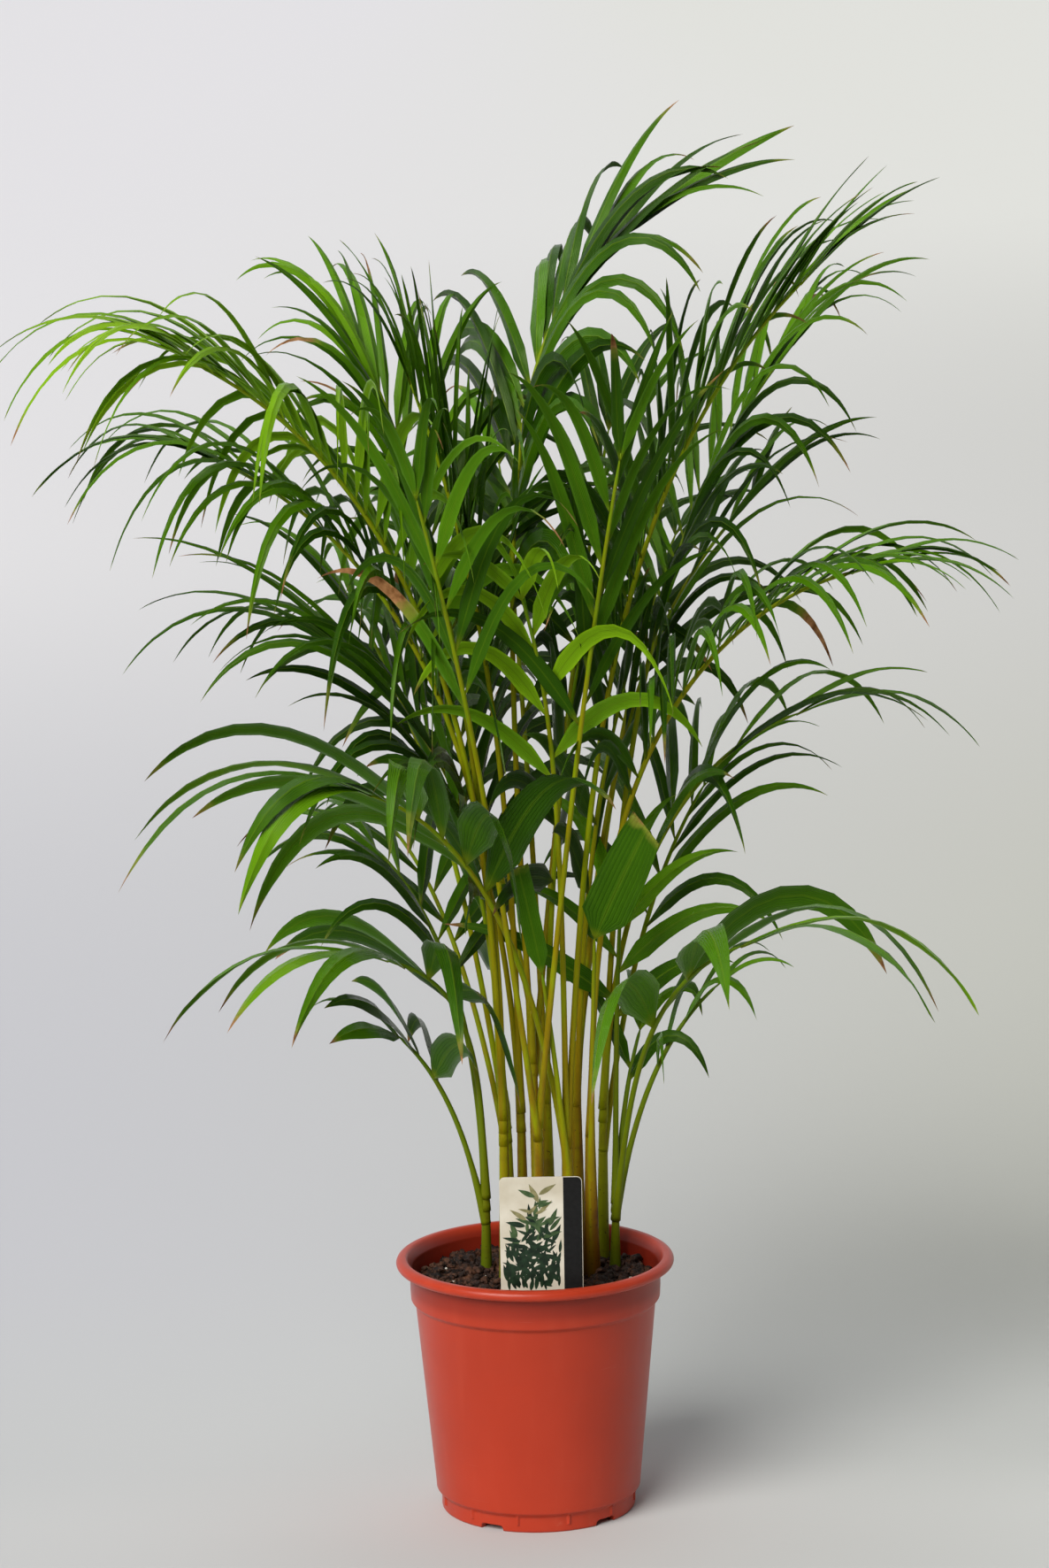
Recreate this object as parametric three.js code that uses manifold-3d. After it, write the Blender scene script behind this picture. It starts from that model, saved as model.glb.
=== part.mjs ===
// A clump of young areca palms in a round plastic nursery pot, with soil and a plain plant label.
//
// Millimetres, +Z up. The origin is on the pot's axis at the surface that the pot stands on, +X is to the
// right in the front view and the front of the pot faces -Y.

import * as THREE from "three";
import { mergeVertices } from "three/addons/utils/BufferGeometryUtils.js";
import Module from "manifold-3d";

const wasm = await Module();
wasm.setup();

// ---------------------------------------------------------------- driving dimensions

// Pot: radii and heights of the moulded shell.
const RIM_RADIUS = 105;
const POT_HEIGHT = 195;
const LIP_HEIGHT = 8;
const MOUTH_RADIUS = 96.5;
const COLLAR_RADIUS = 94.6;
const COLLAR_BOTTOM = 163;
const BODY_TOP_RADIUS = 90.8;
const BODY_FOOT_RADIUS = 77.4;
const FOOT_RADIUS = 73.6;
const FOOT_HEIGHT = 12;
const WALL = 1.8;
const FLOOR_UNDERSIDE = 5;
const FLOOR_TOP = 8;
const REST_DISC_RADIUS = 30;
const POT_SIDES = 32;
const NOTCHES = 5;
const NOTCH_WIDTH = 19;
const NOTCH_HEIGHT = 4.5;
const NOTCH_DEPTH = 16;
const FIRST_NOTCH_ANGLE = -29;
const RIBS = 12;
const RIB_WIDTH = 2.2;
const RIB_HEIGHT = 6;
const RIB_DEPTH = 2.6;
const FIRST_RIB_ANGLE = -12.5;

// Soil: its mean level, its lumps, and how deep the stems stand in it.
const SOIL_LEVEL = 177;
const SOIL_LUMP = 2.2;
const ROOT_DEPTH = 50;
const CLEARANCE = 0.3;

// Label: a card on a tapering stake that stands in the soil behind the front rim.
const LABEL_WIDTH = 61;
const LABEL_TOP = 276;
const LABEL_SHOULDER = 189;
const LABEL_CORNER = 4;
const LABEL_THICKNESS = 1;
const LABEL_X = 5;
const LABEL_Y = -80;
const STAKE_WIDTH = 13;
const STAKE_TOP = 182;
const STAKE_TIP = 138;

// Canes and stalks: their sections, and the lengths between the rings of a stalk's tube.
const CANE_SIDES = 6;
const CANE_TAPER = 0.55;
const COLLAR_RISE = 4;
const STALK_SIDES = 3;
const STALK_RADIUS = 2.5;
const STALK_TIP_RADIUS = 1.2;
const STALK_STEPS = 60;
const PETIOLE_STEP = 75;
const MIDRIB_STEP = 38;

// A stalk's lean grows with the power CURL of the share of its length, and its turn with TURN_POWER.
const CURL = 2;
const TURN_POWER = 2;

// Leaflets along the midrib: the longest stand at LONGEST_AT. The last pair at LAST_ROOT keeps the share
// TIP_REACH of that length and TIP_DROOP of the droop. The two rows are out of step by STAGGER of a gap.
const LONGEST_AT = 0.35;
const LAST_ROOT = 0.97;
const TIP_REACH = 0.6;
const TIP_DROOP = 0.8;
const TIP_NARROWING = 0.25;
const STAGGER = 0.45;

// How far apart the random draws lie: angles in degrees, sizes and droop as shares.
const SCATTER = { spread: 15, rise: 26, reach: 0.24, width: 0.3, droop: 0.9 };

// A blade: the height of its ridge, how it widens from its foot and narrows to its tip, where its rings
// stand, and how late it droops.
const RIDGE = 0.8;
const RIDGE_SWELL = 0.8;
const FOOT_BREADTH = 0.05;
const FULL_BREADTH_AT = 0.2;
const TAPER_POWER = 2.4;
const LONG_BLADE = 165;
const LONG_STATIONS = [0, 0.2, 0.44, 0.72];
const SHORT_STATIONS = [0, 0.24, 0.6];
const BLADE_STEPS = 25;
const DROOP_POWER = 1.6;

// ---------------------------------------------------------------- the palms of the clump
//
// Each palm has a root (x, y), the top of its cane and the cane's radius. A frond's stalk leaves the cane
// at the height `from`, towards `heading` (0 is +X, -90 the front), `lean` degrees off the vertical. Over
// its `length` it bends by a further `arch`, the later the higher its `curl`, and swings by `turn` about
// the vertical. The last `leafy` share of it is the midrib, with `pairs` of leaflets, and `reach` and
// `width` are the size of the longest. `spread` is the angle between leaflet and midrib at the foot and at
// the tip, `rise` lifts the leaflets above the plane of the frond, `droop` bends them down, and `roll`
// turns the frond about its midrib. `tipReach` and `tipDroop` are how much of its length and of its droop
// the last leaflet keeps. Leaflets grow on both `sides` of the midrib or on one, and a `blunt` blade ends
// cut off.

const PALMS = [
  {
    name: "palm_low_left",
    root: [-37, 20],
    top: [-36, 14, 262],
    radius: 4.1,
    fronds: [
      {
        from: 215, heading: -168, lean: 12, arch: 34, length: 165, leafy: 0.3,
        pairs: 3, reach: 135, width: 28, spread: [58, 25], rise: 15, droop: 1.7,
      },
      {
        from: 235, heading: -108, lean: 4, arch: 70, length: 240, leafy: 0.3, turn: -50,
        pairs: 4, reach: 185, width: 27, spread: [62, 18], rise: 12, droop: 1.9, tipReach: 1,
      },
      {
        from: 225, heading: 142, lean: 3, arch: 54, length: 300, leafy: 0.4,
        pairs: 5, reach: 170, width: 15, spread: [50, 16], rise: 25, droop: 1.6,
      },
    ],
  },
  {
    name: "palm_upper_left",
    root: [-22, 0],
    top: [-22, -2, 330],
    radius: 4.9,
    fronds: [
      {
        from: 300, heading: -150, lean: 2, arch: 63, length: 670, leafy: 0.46,
        pairs: 12, reach: 215, width: 12, spread: [46, 12], rise: 35, droop: 2.3, tipReach: 0.75,
      },
      {
        from: 290, heading: 178, lean: 0, arch: 70, length: 600, leafy: 0.48,
        pairs: 11, reach: 210, width: 12, spread: [48, 12], rise: 25, droop: 2.6, tipReach: 0.65,
      },
      {
        from: 280, heading: 131, lean: 3, arch: 34, length: 620, leafy: 0.4,
        pairs: 8, reach: 190, width: 12, spread: [42, 14], rise: 35, droop: 1.4,
      },
    ],
  },
  {
    name: "palm_middle_left",
    root: [-8, 22],
    top: [-9, 20, 335],
    radius: 4.7,
    fronds: [
      {
        from: 285, heading: 156, lean: 3, arch: 52, length: 390, leafy: 0.5,
        pairs: 8, reach: 235, width: 13, spread: [52, 14], rise: 22, droop: 1.8, tipReach: 0.8,
      },
      {
        from: 300, heading: 173, lean: 1, arch: 20, length: 565, leafy: 0.42,
        pairs: 8, reach: 185, width: 12, spread: [38, 12], rise: 30, droop: 0.9,
      },
    ],
  },
  {
    name: "palm_tall",
    root: [4, 8],
    top: [0, 14, 380],
    radius: 5,
    fronds: [
      {
        from: 340, heading: 117, lean: 6, arch: 50, length: 655, leafy: 0.48, turn: -122, curl: 5,
        pairs: 10, reach: 185, width: 20, spread: [58, 6], rise: 15, droop: 2.9, tipReach: 0.75,
        tipDroop: 0.15,
      },
      {
        from: 330, heading: 74, lean: 22, arch: 18, length: 530, leafy: 0.4,
        pairs: 5, reach: 180, width: 15, spread: [50, 16], rise: 35, droop: 1.6,
      },
    ],
  },
  {
    name: "palm_forked",
    root: [27, -10],
    top: [25, -11, 292],
    radius: 6.4,
    fronds: [
      {
        from: 275, heading: -138, lean: 13, arch: 58, length: 370, leafy: 0.42,
        pairs: 6, reach: 245, width: 31, spread: [52, 14], rise: 22, droop: 2, tipReach: 0.9,
      },
      {
        from: 280, heading: -19, lean: 4, arch: 44, length: 700, leafy: 0.5, curl: 2.5,
        pairs: 11, reach: 200, width: 15, spread: [44, 12], rise: 30, droop: 1.2, tipReach: 0.55,
        tipDroop: 0.5,
      },
      {
        from: 285, heading: -92, lean: 6, arch: 28, length: 450, leafy: 0.36, turn: -24,
        pairs: 4, reach: 150, width: 17, spread: [50, 22], rise: 25, droop: 2.4,
      },
      {
        from: 262, heading: -115, lean: 12, arch: 6, length: 165, leafy: 0.15,
        pairs: 1, sides: [-1], reach: 145, width: 24, spread: [4, 4], rise: 10, droop: 0.1, roll: 12,
        blunt: true,
      },
    ],
  },
  {
    name: "palm_right",
    root: [43, 6],
    top: [43, 2, 300],
    radius: 6.2,
    fronds: [
      {
        from: 285, heading: -17, lean: 2, arch: 78, length: 530, leafy: 0.5, curl: 2.1,
        pairs: 10, reach: 190, width: 13, spread: [50, 14], rise: 28, droop: 1.8, tipReach: 0.55,
      },
      {
        from: 245, heading: -83, lean: 10, arch: 4, length: 205, leafy: 0.12,
        pairs: 1, sides: [-1], reach: 172, width: 45, spread: [15, 15], rise: 10, droop: 0.1, roll: -15,
        blunt: true,
      },
    ],
  },
  {
    name: "palm_low_right",
    root: [61, 26],
    top: [62, 20, 235],
    radius: 4,
    fronds: [
      {
        from: 215, heading: -72, lean: 18, arch: 50, length: 300, leafy: 0.4, turn: 40,
        pairs: 3, reach: 240, width: 36, spread: [40, 12], rise: 20, droop: 2.1, tipReach: 0.95,
      },
      {
        from: 220, heading: 5, lean: 12, arch: 38, length: 196, leafy: 0.4,
        pairs: 3, reach: 125, width: 13, spread: [42, 18], rise: 20, droop: 1.6,
      },
      {
        from: 222, heading: 55, lean: 8, arch: 22, length: 140, leafy: 0.3,
        pairs: 2, reach: 115, width: 13, spread: [45, 20], rise: 15, droop: 1.6,
      },
      {
        from: 228, heading: 75, lean: 3, arch: 14, length: 245, leafy: 0.42,
        pairs: 4, reach: 140, width: 16, spread: [52, 25], rise: 20, droop: 1.1,
      },
    ],
  },
  {
    name: "palm_middle_right",
    root: [52, 46],
    top: [54, 48, 318],
    radius: 4.8,
    fronds: [
      {
        from: 285, heading: 14, lean: 4, arch: 72, length: 372, leafy: 0.48,
        pairs: 6, reach: 205, width: 16, spread: [48, 14], rise: 25, droop: 1.6, tipReach: 0.7,
      },
      {
        from: 295, heading: 28, lean: 4, arch: 44, length: 620, leafy: 0.45, curl: 2.3,
        pairs: 9, reach: 190, width: 12, spread: [44, 14], rise: 30, droop: 1.6,
      },
      {
        from: 262, heading: 42, lean: 12, arch: 32, length: 297, leafy: 0.42,
        pairs: 5, reach: 175, width: 13, spread: [46, 16], rise: 25, droop: 1.6,
      },
    ],
  },
  {
    name: "palm_back_right",
    root: [34, 34],
    top: [33, 40, 350],
    radius: 5.6,
    fronds: [
      {
        from: 310, heading: 62, lean: 12, arch: 36, length: 490, leafy: 0.44, turn: -50,
        pairs: 6, reach: 185, width: 13, spread: [44, 14], rise: 30, droop: 1.2,
      },
      {
        from: 320, heading: 70, lean: 22, arch: 36, length: 475, leafy: 0.44,
        pairs: 5, reach: 180, width: 14, spread: [52, 16], rise: 30, droop: 1.7,
      },
      {
        from: 300, heading: -20, lean: 3, arch: 14, length: 330, leafy: 0.5,
        pairs: 4, reach: 170, width: 24, spread: [58, 22], rise: 10, droop: 1,
      },
    ],
  },
  {
    name: "palm_back",
    root: [12, 44],
    top: [10, 52, 350],
    radius: 5.6,
    fronds: [
      {
        from: 320, heading: 98, lean: 16, arch: 26, length: 500, leafy: 0.44,
        pairs: 6, reach: 185, width: 14, spread: [52, 16], rise: 30, droop: 1.7,
      },
      {
        from: 310, heading: 117, lean: 22, arch: 44, length: 430, leafy: 0.44,
        pairs: 5, reach: 175, width: 14, spread: [52, 16], rise: 25, droop: 1.8,
      },
      {
        from: 300, heading: -20, lean: 2, arch: 10, length: 345, leafy: 0.5,
        pairs: 5, reach: 175, width: 25, spread: [60, 20], rise: 8, droop: 1,
      },
    ],
  },
  {
    name: "palm_back_left",
    root: [-18, 46],
    top: [-20, 50, 310],
    radius: 5,
    fronds: [
      {
        from: 280, heading: 136, lean: 12, arch: 30, length: 427, leafy: 0.44,
        pairs: 5, reach: 180, width: 13, spread: [48, 16], rise: 25, droop: 1.7,
      },
      {
        from: 262, heading: 121, lean: 22, arch: 50, length: 307, leafy: 0.45,
        pairs: 4, reach: 160, width: 14, spread: [50, 16], rise: 20, droop: 1.9,
      },
      {
        from: 270, heading: -150, lean: 3, arch: 16, length: 270, leafy: 0.5,
        pairs: 4, reach: 160, width: 23, spread: [58, 22], rise: 10, droop: 1.1,
      },
    ],
  },
  {
    name: "palm_front",
    root: [4, -22],
    top: [4, -26, 318],
    radius: 5,
    fronds: [
      {
        from: 290, heading: -119, lean: 14, arch: 12, length: 530, leafy: 0.34,
        pairs: 6, reach: 180, width: 12, spread: [34, 14], rise: 30, droop: 1.4,
      },
      {
        from: 300, heading: -60, lean: 12, arch: 7, length: 533, leafy: 0.4,
        pairs: 6, reach: 185, width: 13, spread: [32, 12], rise: 30, droop: 0.9,
      },
    ],
  },
];

// How a leaflet gives way to its neighbours: it keeps its length if it can, and is lifted or swung aside by
// the first pair of angles (degrees) that leaves it clear of everything else.
const LENGTHS = [1, 0.88, 0.74, 0.6, 0.45];
const LIFTS = [0, 8, -8, 16, -16, 26, -26];
const SWINGS = [0, 7, -7, 14, -14];

// ---------------------------------------------------------------- colours and materials

const surface = (color, roughness) => new THREE.MeshStandardMaterial({ color, roughness, metalness: 0 });
const potPlastic = surface(0xb4402a, 0.45);
const soilEarth = surface(0x2b1c14, 0.95);
const labelCard = surface(0xe6ddc4, 0.35);
const leafGreen = surface(0x3f7a22, 0.4);

// ---------------------------------------------------------------- solids

// A closed geometry as a solid that can be cut and joined.
function solidOf(geometry) {
  const bare = geometry.clone();
  bare.deleteAttribute("normal");
  bare.deleteAttribute("uv");
  const merged = mergeVertices(bare, 1e-4);
  return new wasm.Manifold(
    new wasm.Mesh({
      numProp: 3,
      vertProperties: new Float32Array(merged.attributes.position.array),
      triVerts: new Uint32Array(merged.index.array),
    }),
  );
}

// The outer skin of a joined solid: slivers narrower than the tolerance are closed, and a hollow that the
// joining sealed is filled.
const SLIVER = 0.1;
function outerSkin(solid) {
  const skins = solid.simplify(SLIVER).decompose();
  return skins.reduce((most, skin) => (skin.volume() > most.volume() ? skin : most));
}

// The named mesh of a solid.
function meshOf(name, solid, material) {
  const { numProp, numVert, vertProperties, triVerts } = outerSkin(solid).getMesh();
  const positions = new Float32Array(numVert * 3);
  for (let i = 0; i < numVert; i++) {
    positions.set(vertProperties.subarray(i * numProp, i * numProp + 3), i * 3);
  }
  const geometry = new THREE.BufferGeometry();
  geometry.setAttribute("position", new THREE.BufferAttribute(positions, 3));
  geometry.setIndex(new THREE.BufferAttribute(triVerts, 1));
  geometry.computeVertexNormals();
  const mesh = new THREE.Mesh(geometry, material);
  mesh.name = name;
  return mesh;
}

// A closed skin over a row of rings that all have the same number of points, counter-clockwise as seen from
// the end of the row. With `point`, the last ring is drawn together to that point.
function loft(rings, point) {
  const sides = rings[0].length;
  const positions = rings.flat().flatMap((p) => [p.x, p.y, p.z]);
  const faces = [];
  for (let i = 0; i + 1 < rings.length; i++) {
    for (let j = 0; j < sides; j++) {
      const [a, b] = [i * sides + j, i * sides + ((j + 1) % sides)];
      faces.push(a, b, b + sides, a, b + sides, a + sides);
    }
  }
  const last = (rings.length - 1) * sides;
  for (let j = 1; j + 1 < sides; j++) {
    faces.push(0, j + 1, j);
    if (!point) faces.push(last, last + j, last + j + 1);
  }
  if (point) {
    const tip = positions.length / 3;
    positions.push(point.x, point.y, point.z);
    for (let j = 0; j < sides; j++) faces.push(last + j, last + ((j + 1) % sides), tip);
  }
  const geometry = new THREE.BufferGeometry();
  geometry.setAttribute("position", new THREE.Float32BufferAttribute(positions, 3));
  geometry.setIndex(faces);
  return geometry;
}

// A box by its size, its middle and its turn about the vertical axis through the origin (degrees, from the
// front towards +X).
function boxAt(width, depth, height, radius, z, angle = 0) {
  const box = new THREE.BoxGeometry(width, depth, height);
  box.translate(0, -radius, z);
  box.rotateZ(THREE.MathUtils.degToRad(angle));
  return solidOf(box);
}

// A solid of revolution about the vertical axis, from a closed outline of [radius, height] points.
function turned(outline, sides) {
  const lathe = new THREE.LatheGeometry(outline.map(([r, z]) => new THREE.Vector2(r, z)), sides);
  lathe.rotateX(Math.PI / 2);
  return lathe;
}

// ---------------------------------------------------------------- pot

// Points of the rolled lip, from its underside round the outer edge to the mouth.
const lipOutline = () => {
  const lip = LIP_HEIGHT;
  return [
    [COLLAR_RADIUS, POT_HEIGHT - lip],
    [RIM_RADIUS - 2.4, POT_HEIGHT - lip],
    [RIM_RADIUS - 0.5, POT_HEIGHT - 0.78 * lip],
    [RIM_RADIUS, POT_HEIGHT - 0.5 * lip],
    [RIM_RADIUS - 1, POT_HEIGHT - 0.2 * lip],
    [RIM_RADIUS - 3.6, POT_HEIGHT],
    [MOUTH_RADIUS + 1.5, POT_HEIGHT],
    [MOUTH_RADIUS, POT_HEIGHT - 0.15 * lip],
  ];
};

// Inner wall, from under the lip to the floor: the wall's thickness inside the outer steps.
const innerWall = [
  [COLLAR_RADIUS - WALL, POT_HEIGHT - LIP_HEIGHT],
  [COLLAR_RADIUS - WALL - 0.4, COLLAR_BOTTOM + 1],
  [BODY_TOP_RADIUS - WALL, COLLAR_BOTTOM - 4],
  [BODY_FOOT_RADIUS - WALL, FOOT_HEIGHT + 5],
  [FOOT_RADIUS - WALL, FOOT_HEIGHT + 1.5],
  [FOOT_RADIUS - WALL - 2, FLOOR_TOP],
];

function makePot() {
  const outline = [
    [0, 0],
    [REST_DISC_RADIUS, 0],
    [REST_DISC_RADIUS + 2, FLOOR_UNDERSIDE],
    [FOOT_RADIUS - 8, FLOOR_UNDERSIDE],
    [FOOT_RADIUS - 6, 0],
    [FOOT_RADIUS - 0.8, 0],
    [FOOT_RADIUS, 1],
    [FOOT_RADIUS, FOOT_HEIGHT],
    [BODY_FOOT_RADIUS, FOOT_HEIGHT + 3.5],
    [BODY_TOP_RADIUS, COLLAR_BOTTOM - 3],
    [COLLAR_RADIUS - 0.5, COLLAR_BOTTOM],
    ...lipOutline(),
    ...innerWall,
    [0, FLOOR_TOP],
  ];
  let pot = solidOf(turned(outline, POT_SIDES));
  for (let i = 0; i < NOTCHES; i++) {
    const angle = FIRST_NOTCH_ANGLE + (360 / NOTCHES) * i;
    pot = pot.subtract(boxAt(NOTCH_WIDTH, NOTCH_DEPTH, 2 * NOTCH_HEIGHT, FOOT_RADIUS, 0, angle));
  }
  for (let i = 0; i < RIBS; i++) {
    const angle = FIRST_RIB_ANGLE + (360 / RIBS) * i;
    const middle = FOOT_HEIGHT - RIB_HEIGHT / 2;
    pot = pot.add(boxAt(RIB_WIDTH, RIB_DEPTH, RIB_HEIGHT, FOOT_RADIUS, middle, angle));
  }
  return meshOf("pot", pot, potPlastic);
}

// ---------------------------------------------------------------- soil

// Height of the soil's lumpy top over its mean level.
const lump = (x, y) =>
  SOIL_LUMP *
  (0.55 * Math.sin(0.21 * x + 0.4) * Math.cos(0.24 * y) +
    0.45 * Math.sin(0.11 * x - 0.17 * y + 1.1) +
    0.35 * Math.sin(0.37 * y + 0.9) * Math.cos(0.31 * x));

function makeSoil() {
  const inside = (radius) => radius - CLEARANCE;
  const wall = innerWall.map(([r, z]) => [inside(r), z]).filter(([, z]) => z < SOIL_LEVEL - 4);
  wall[wall.length - 1][1] += CLEARANCE;
  const rim = inside(COLLAR_RADIUS - WALL - 0.2);
  const rings = [0.8, 0.52, 0.26];
  const outline = [
    [0, FLOOR_TOP + CLEARANCE],
    ...wall.reverse(),
    [rim, SOIL_LEVEL - 4],
    ...rings.map((share) => [rim * share, SOIL_LEVEL]),
    [0, SOIL_LEVEL],
  ];
  const geometry = turned(outline, POT_SIDES);
  const at = geometry.attributes.position;
  for (let i = 0; i < at.count; i++) {
    if (at.getZ(i) > SOIL_LEVEL - 1) at.setZ(i, SOIL_LEVEL + lump(at.getX(i), at.getY(i)));
  }
  let soil = solidOf(geometry);
  for (const palm of PALMS) {
    soil = soil.subtract(solidOf(rootHole(palm)));
  }
  const slot = boxAt(
    STAKE_WIDTH + 1,
    LABEL_THICKNESS + 2 * CLEARANCE,
    2 * (SOIL_LEVEL - STAKE_TIP + CLEARANCE),
    -LABEL_Y,
    SOIL_LEVEL,
  );
  return meshOf("soil", soil.subtract(slot.translate([LABEL_X, 0, 0])), soilEarth);
}

// ---------------------------------------------------------------- label

function makeLabel() {
  const half = LABEL_WIDTH / 2;
  const stake = STAKE_WIDTH / 2;
  const outline = new THREE.Shape();
  outline.moveTo(half, LABEL_SHOULDER);
  outline.lineTo(half, LABEL_TOP - LABEL_CORNER);
  outline.absarc(half - LABEL_CORNER, LABEL_TOP - LABEL_CORNER, LABEL_CORNER, 0, Math.PI / 2);
  outline.absarc(LABEL_CORNER - half, LABEL_TOP - LABEL_CORNER, LABEL_CORNER, Math.PI / 2, Math.PI);
  outline.lineTo(-half, LABEL_SHOULDER);
  outline.bezierCurveTo(-half, STAKE_TOP + 6, -stake, STAKE_TOP + 8, -stake, STAKE_TOP);
  outline.lineTo(-stake, STAKE_TIP + 10);
  outline.lineTo(0, STAKE_TIP);
  outline.lineTo(stake, STAKE_TIP + 10);
  outline.lineTo(stake, STAKE_TOP);
  outline.bezierCurveTo(stake, STAKE_TOP + 8, half, STAKE_TOP + 6, half, LABEL_SHOULDER);
  const card = new THREE.ExtrudeGeometry(outline, {
    depth: LABEL_THICKNESS,
    bevelEnabled: false,
    curveSegments: 4,
  });
  card.rotateX(Math.PI / 2);
  card.translate(LABEL_X, LABEL_Y + LABEL_THICKNESS / 2, 0);
  return meshOf("label", solidOf(card), labelCard);
}

// ---------------------------------------------------------------- canes and stalks

const UP = new THREE.Vector3(0, 0, 1);
const degrees = THREE.MathUtils.degToRad;
const lerp = THREE.MathUtils.lerp;
const vector = (p) => new THREE.Vector3(...p);

// A tube with `sides` flat sides round a row of points; its radius runs from `radius` to `tipRadius`. One
// edge lies a quarter turn from `level`, as seen along the tube.
function tube(points, radius, tipRadius, sides, level = new THREE.Vector3(1, 0, 0)) {
  const rings = points.map((p, i) => {
    const before = points[Math.max(i - 1, 0)];
    const after = points[Math.min(i + 1, points.length - 1)];
    const along = after.clone().sub(before).normalize();
    const across = level.clone().addScaledVector(along, -level.dot(along)).normalize();
    const above = across.clone().cross(along);
    const r = radius + (tipRadius - radius) * (i / (points.length - 1));
    return Array.from({ length: sides }, (_, j) => {
      const angle = (2 * Math.PI * j) / sides;
      return p
        .clone()
        .addScaledVector(above, r * Math.cos(angle))
        .addScaledVector(across, r * Math.sin(angle));
    });
  });
  return loft(rings);
}

// The plain hole in the soil that a cane stands in: its flat sides stay clear of the cane's, and it opens
// above the highest lump.
const CORNER_GROWTH = 1.3;
function rootHole(palm) {
  const [x, y] = palm.root;
  const bottom = SOIL_LEVEL - ROOT_DEPTH - CLEARANCE;
  const top = SOIL_LEVEL + 3 * SOIL_LUMP + COLLAR_RISE;
  const radius = palm.radius + CORNER_GROWTH * CLEARANCE;
  const points = [new THREE.Vector3(x, y, bottom), new THREE.Vector3(x, y, top)];
  return tube(points, radius, radius, CANE_SIDES);
}

// A point of the cane's axis above the soil at the height z.
function canePoint(palm, z) {
  const bottom = new THREE.Vector3(...palm.root, SOIL_LEVEL);
  const top = vector(palm.top);
  return bottom.lerp(top, (z - SOIL_LEVEL) / (palm.top[2] - SOIL_LEVEL));
}

// The direction of a frond's stalk at the share t of its length.
function stalkDirection(frond, t) {
  const tilt = degrees(frond.lean + frond.arch * t ** (frond.curl ?? CURL));
  const compass = degrees(frond.heading + (frond.turn ?? 0) * t ** TURN_POWER);
  return new THREE.Vector3(
    Math.sin(tilt) * Math.cos(compass),
    Math.sin(tilt) * Math.sin(compass),
    Math.cos(tilt),
  );
}

// A frond's stalk: the row of points of its line, the share of it where the midrib begins, the points of
// its tube below and along the midrib, and the level direction across it.
function stalkLine(palm, frond) {
  const point = canePoint(palm, frond.from);
  const row = [point.clone()];
  for (let i = 0; i < STALK_STEPS; i++) {
    const direction = stalkDirection(frond, (i + 0.5) / STALK_STEPS);
    row.push(point.addScaledVector(direction, frond.length / STALK_STEPS).clone());
  }
  const foot = 1 - frond.leafy;
  const petioleSteps = Math.ceil((frond.length * foot) / PETIOLE_STEP);
  const midribSteps = Math.ceil((frond.length * frond.leafy) / MIDRIB_STEP);
  const petiole = Array.from({ length: petioleSteps }, (_, i) => onRow(row, (foot * i) / petioleSteps));
  const midrib = Array.from({ length: midribSteps + 1 }, (_, i) =>
    onRow(row, foot + (frond.leafy * i) / midribSteps),
  );
  const level = onRow(row, 1).sub(onRow(row, foot)).cross(UP).normalize();
  return { row, foot, petiole, midrib, level };
}

// A point on a row of points, by the share of its steps.
function onRow(row, share) {
  const place = share * (row.length - 1);
  const i = Math.min(Math.floor(place), row.length - 2);
  return row[i].clone().lerp(row[i + 1], place - i);
}

function stalkSolid(palm, frond) {
  const { petiole, midrib, level } = stalkLine(palm, frond);
  return solidOf(tube([...petiole, ...midrib], STALK_RADIUS, STALK_TIP_RADIUS, STALK_SIDES, level));
}

function caneSolid(palm) {
  const [x, y] = palm.root;
  const foot = new THREE.Vector3(x, y, SOIL_LEVEL - ROOT_DEPTH);
  const collar = new THREE.Vector3(x, y, SOIL_LEVEL + SOIL_LUMP + COLLAR_RISE);
  const upper = [0.5, 1].map((share) =>
    canePoint(palm, SOIL_LEVEL + share * (palm.top[2] - SOIL_LEVEL)),
  );
  const lower = solidOf(tube([foot, collar], palm.radius, palm.radius, CANE_SIDES));
  return lower.add(solidOf(tube([collar, ...upper], palm.radius, CANE_TAPER * palm.radius, CANE_SIDES)));
}

// ---------------------------------------------------------------- leaflets

// A number between 0 and 1 that is always the same for the same whole number.
function draw(seed) {
  const wave = Math.sin(seed * 12.9898) * 43758.5453;
  return wave - Math.floor(wave);
}

// A factor round 1 whose draws lie `scatter` apart.
const vary = (scatter, seed) => 1 + scatter * (draw(seed) - 0.5);

// Length of the leaflets along the midrib, as a share of the longest. The last keep the share `tip`.
const reachShape = (share, tip) => 1 - (1 - tip) * ((share - LONGEST_AT) / (1 - LONGEST_AT)) ** 2;

const BOTH_SIDES = [1, -1];

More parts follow.
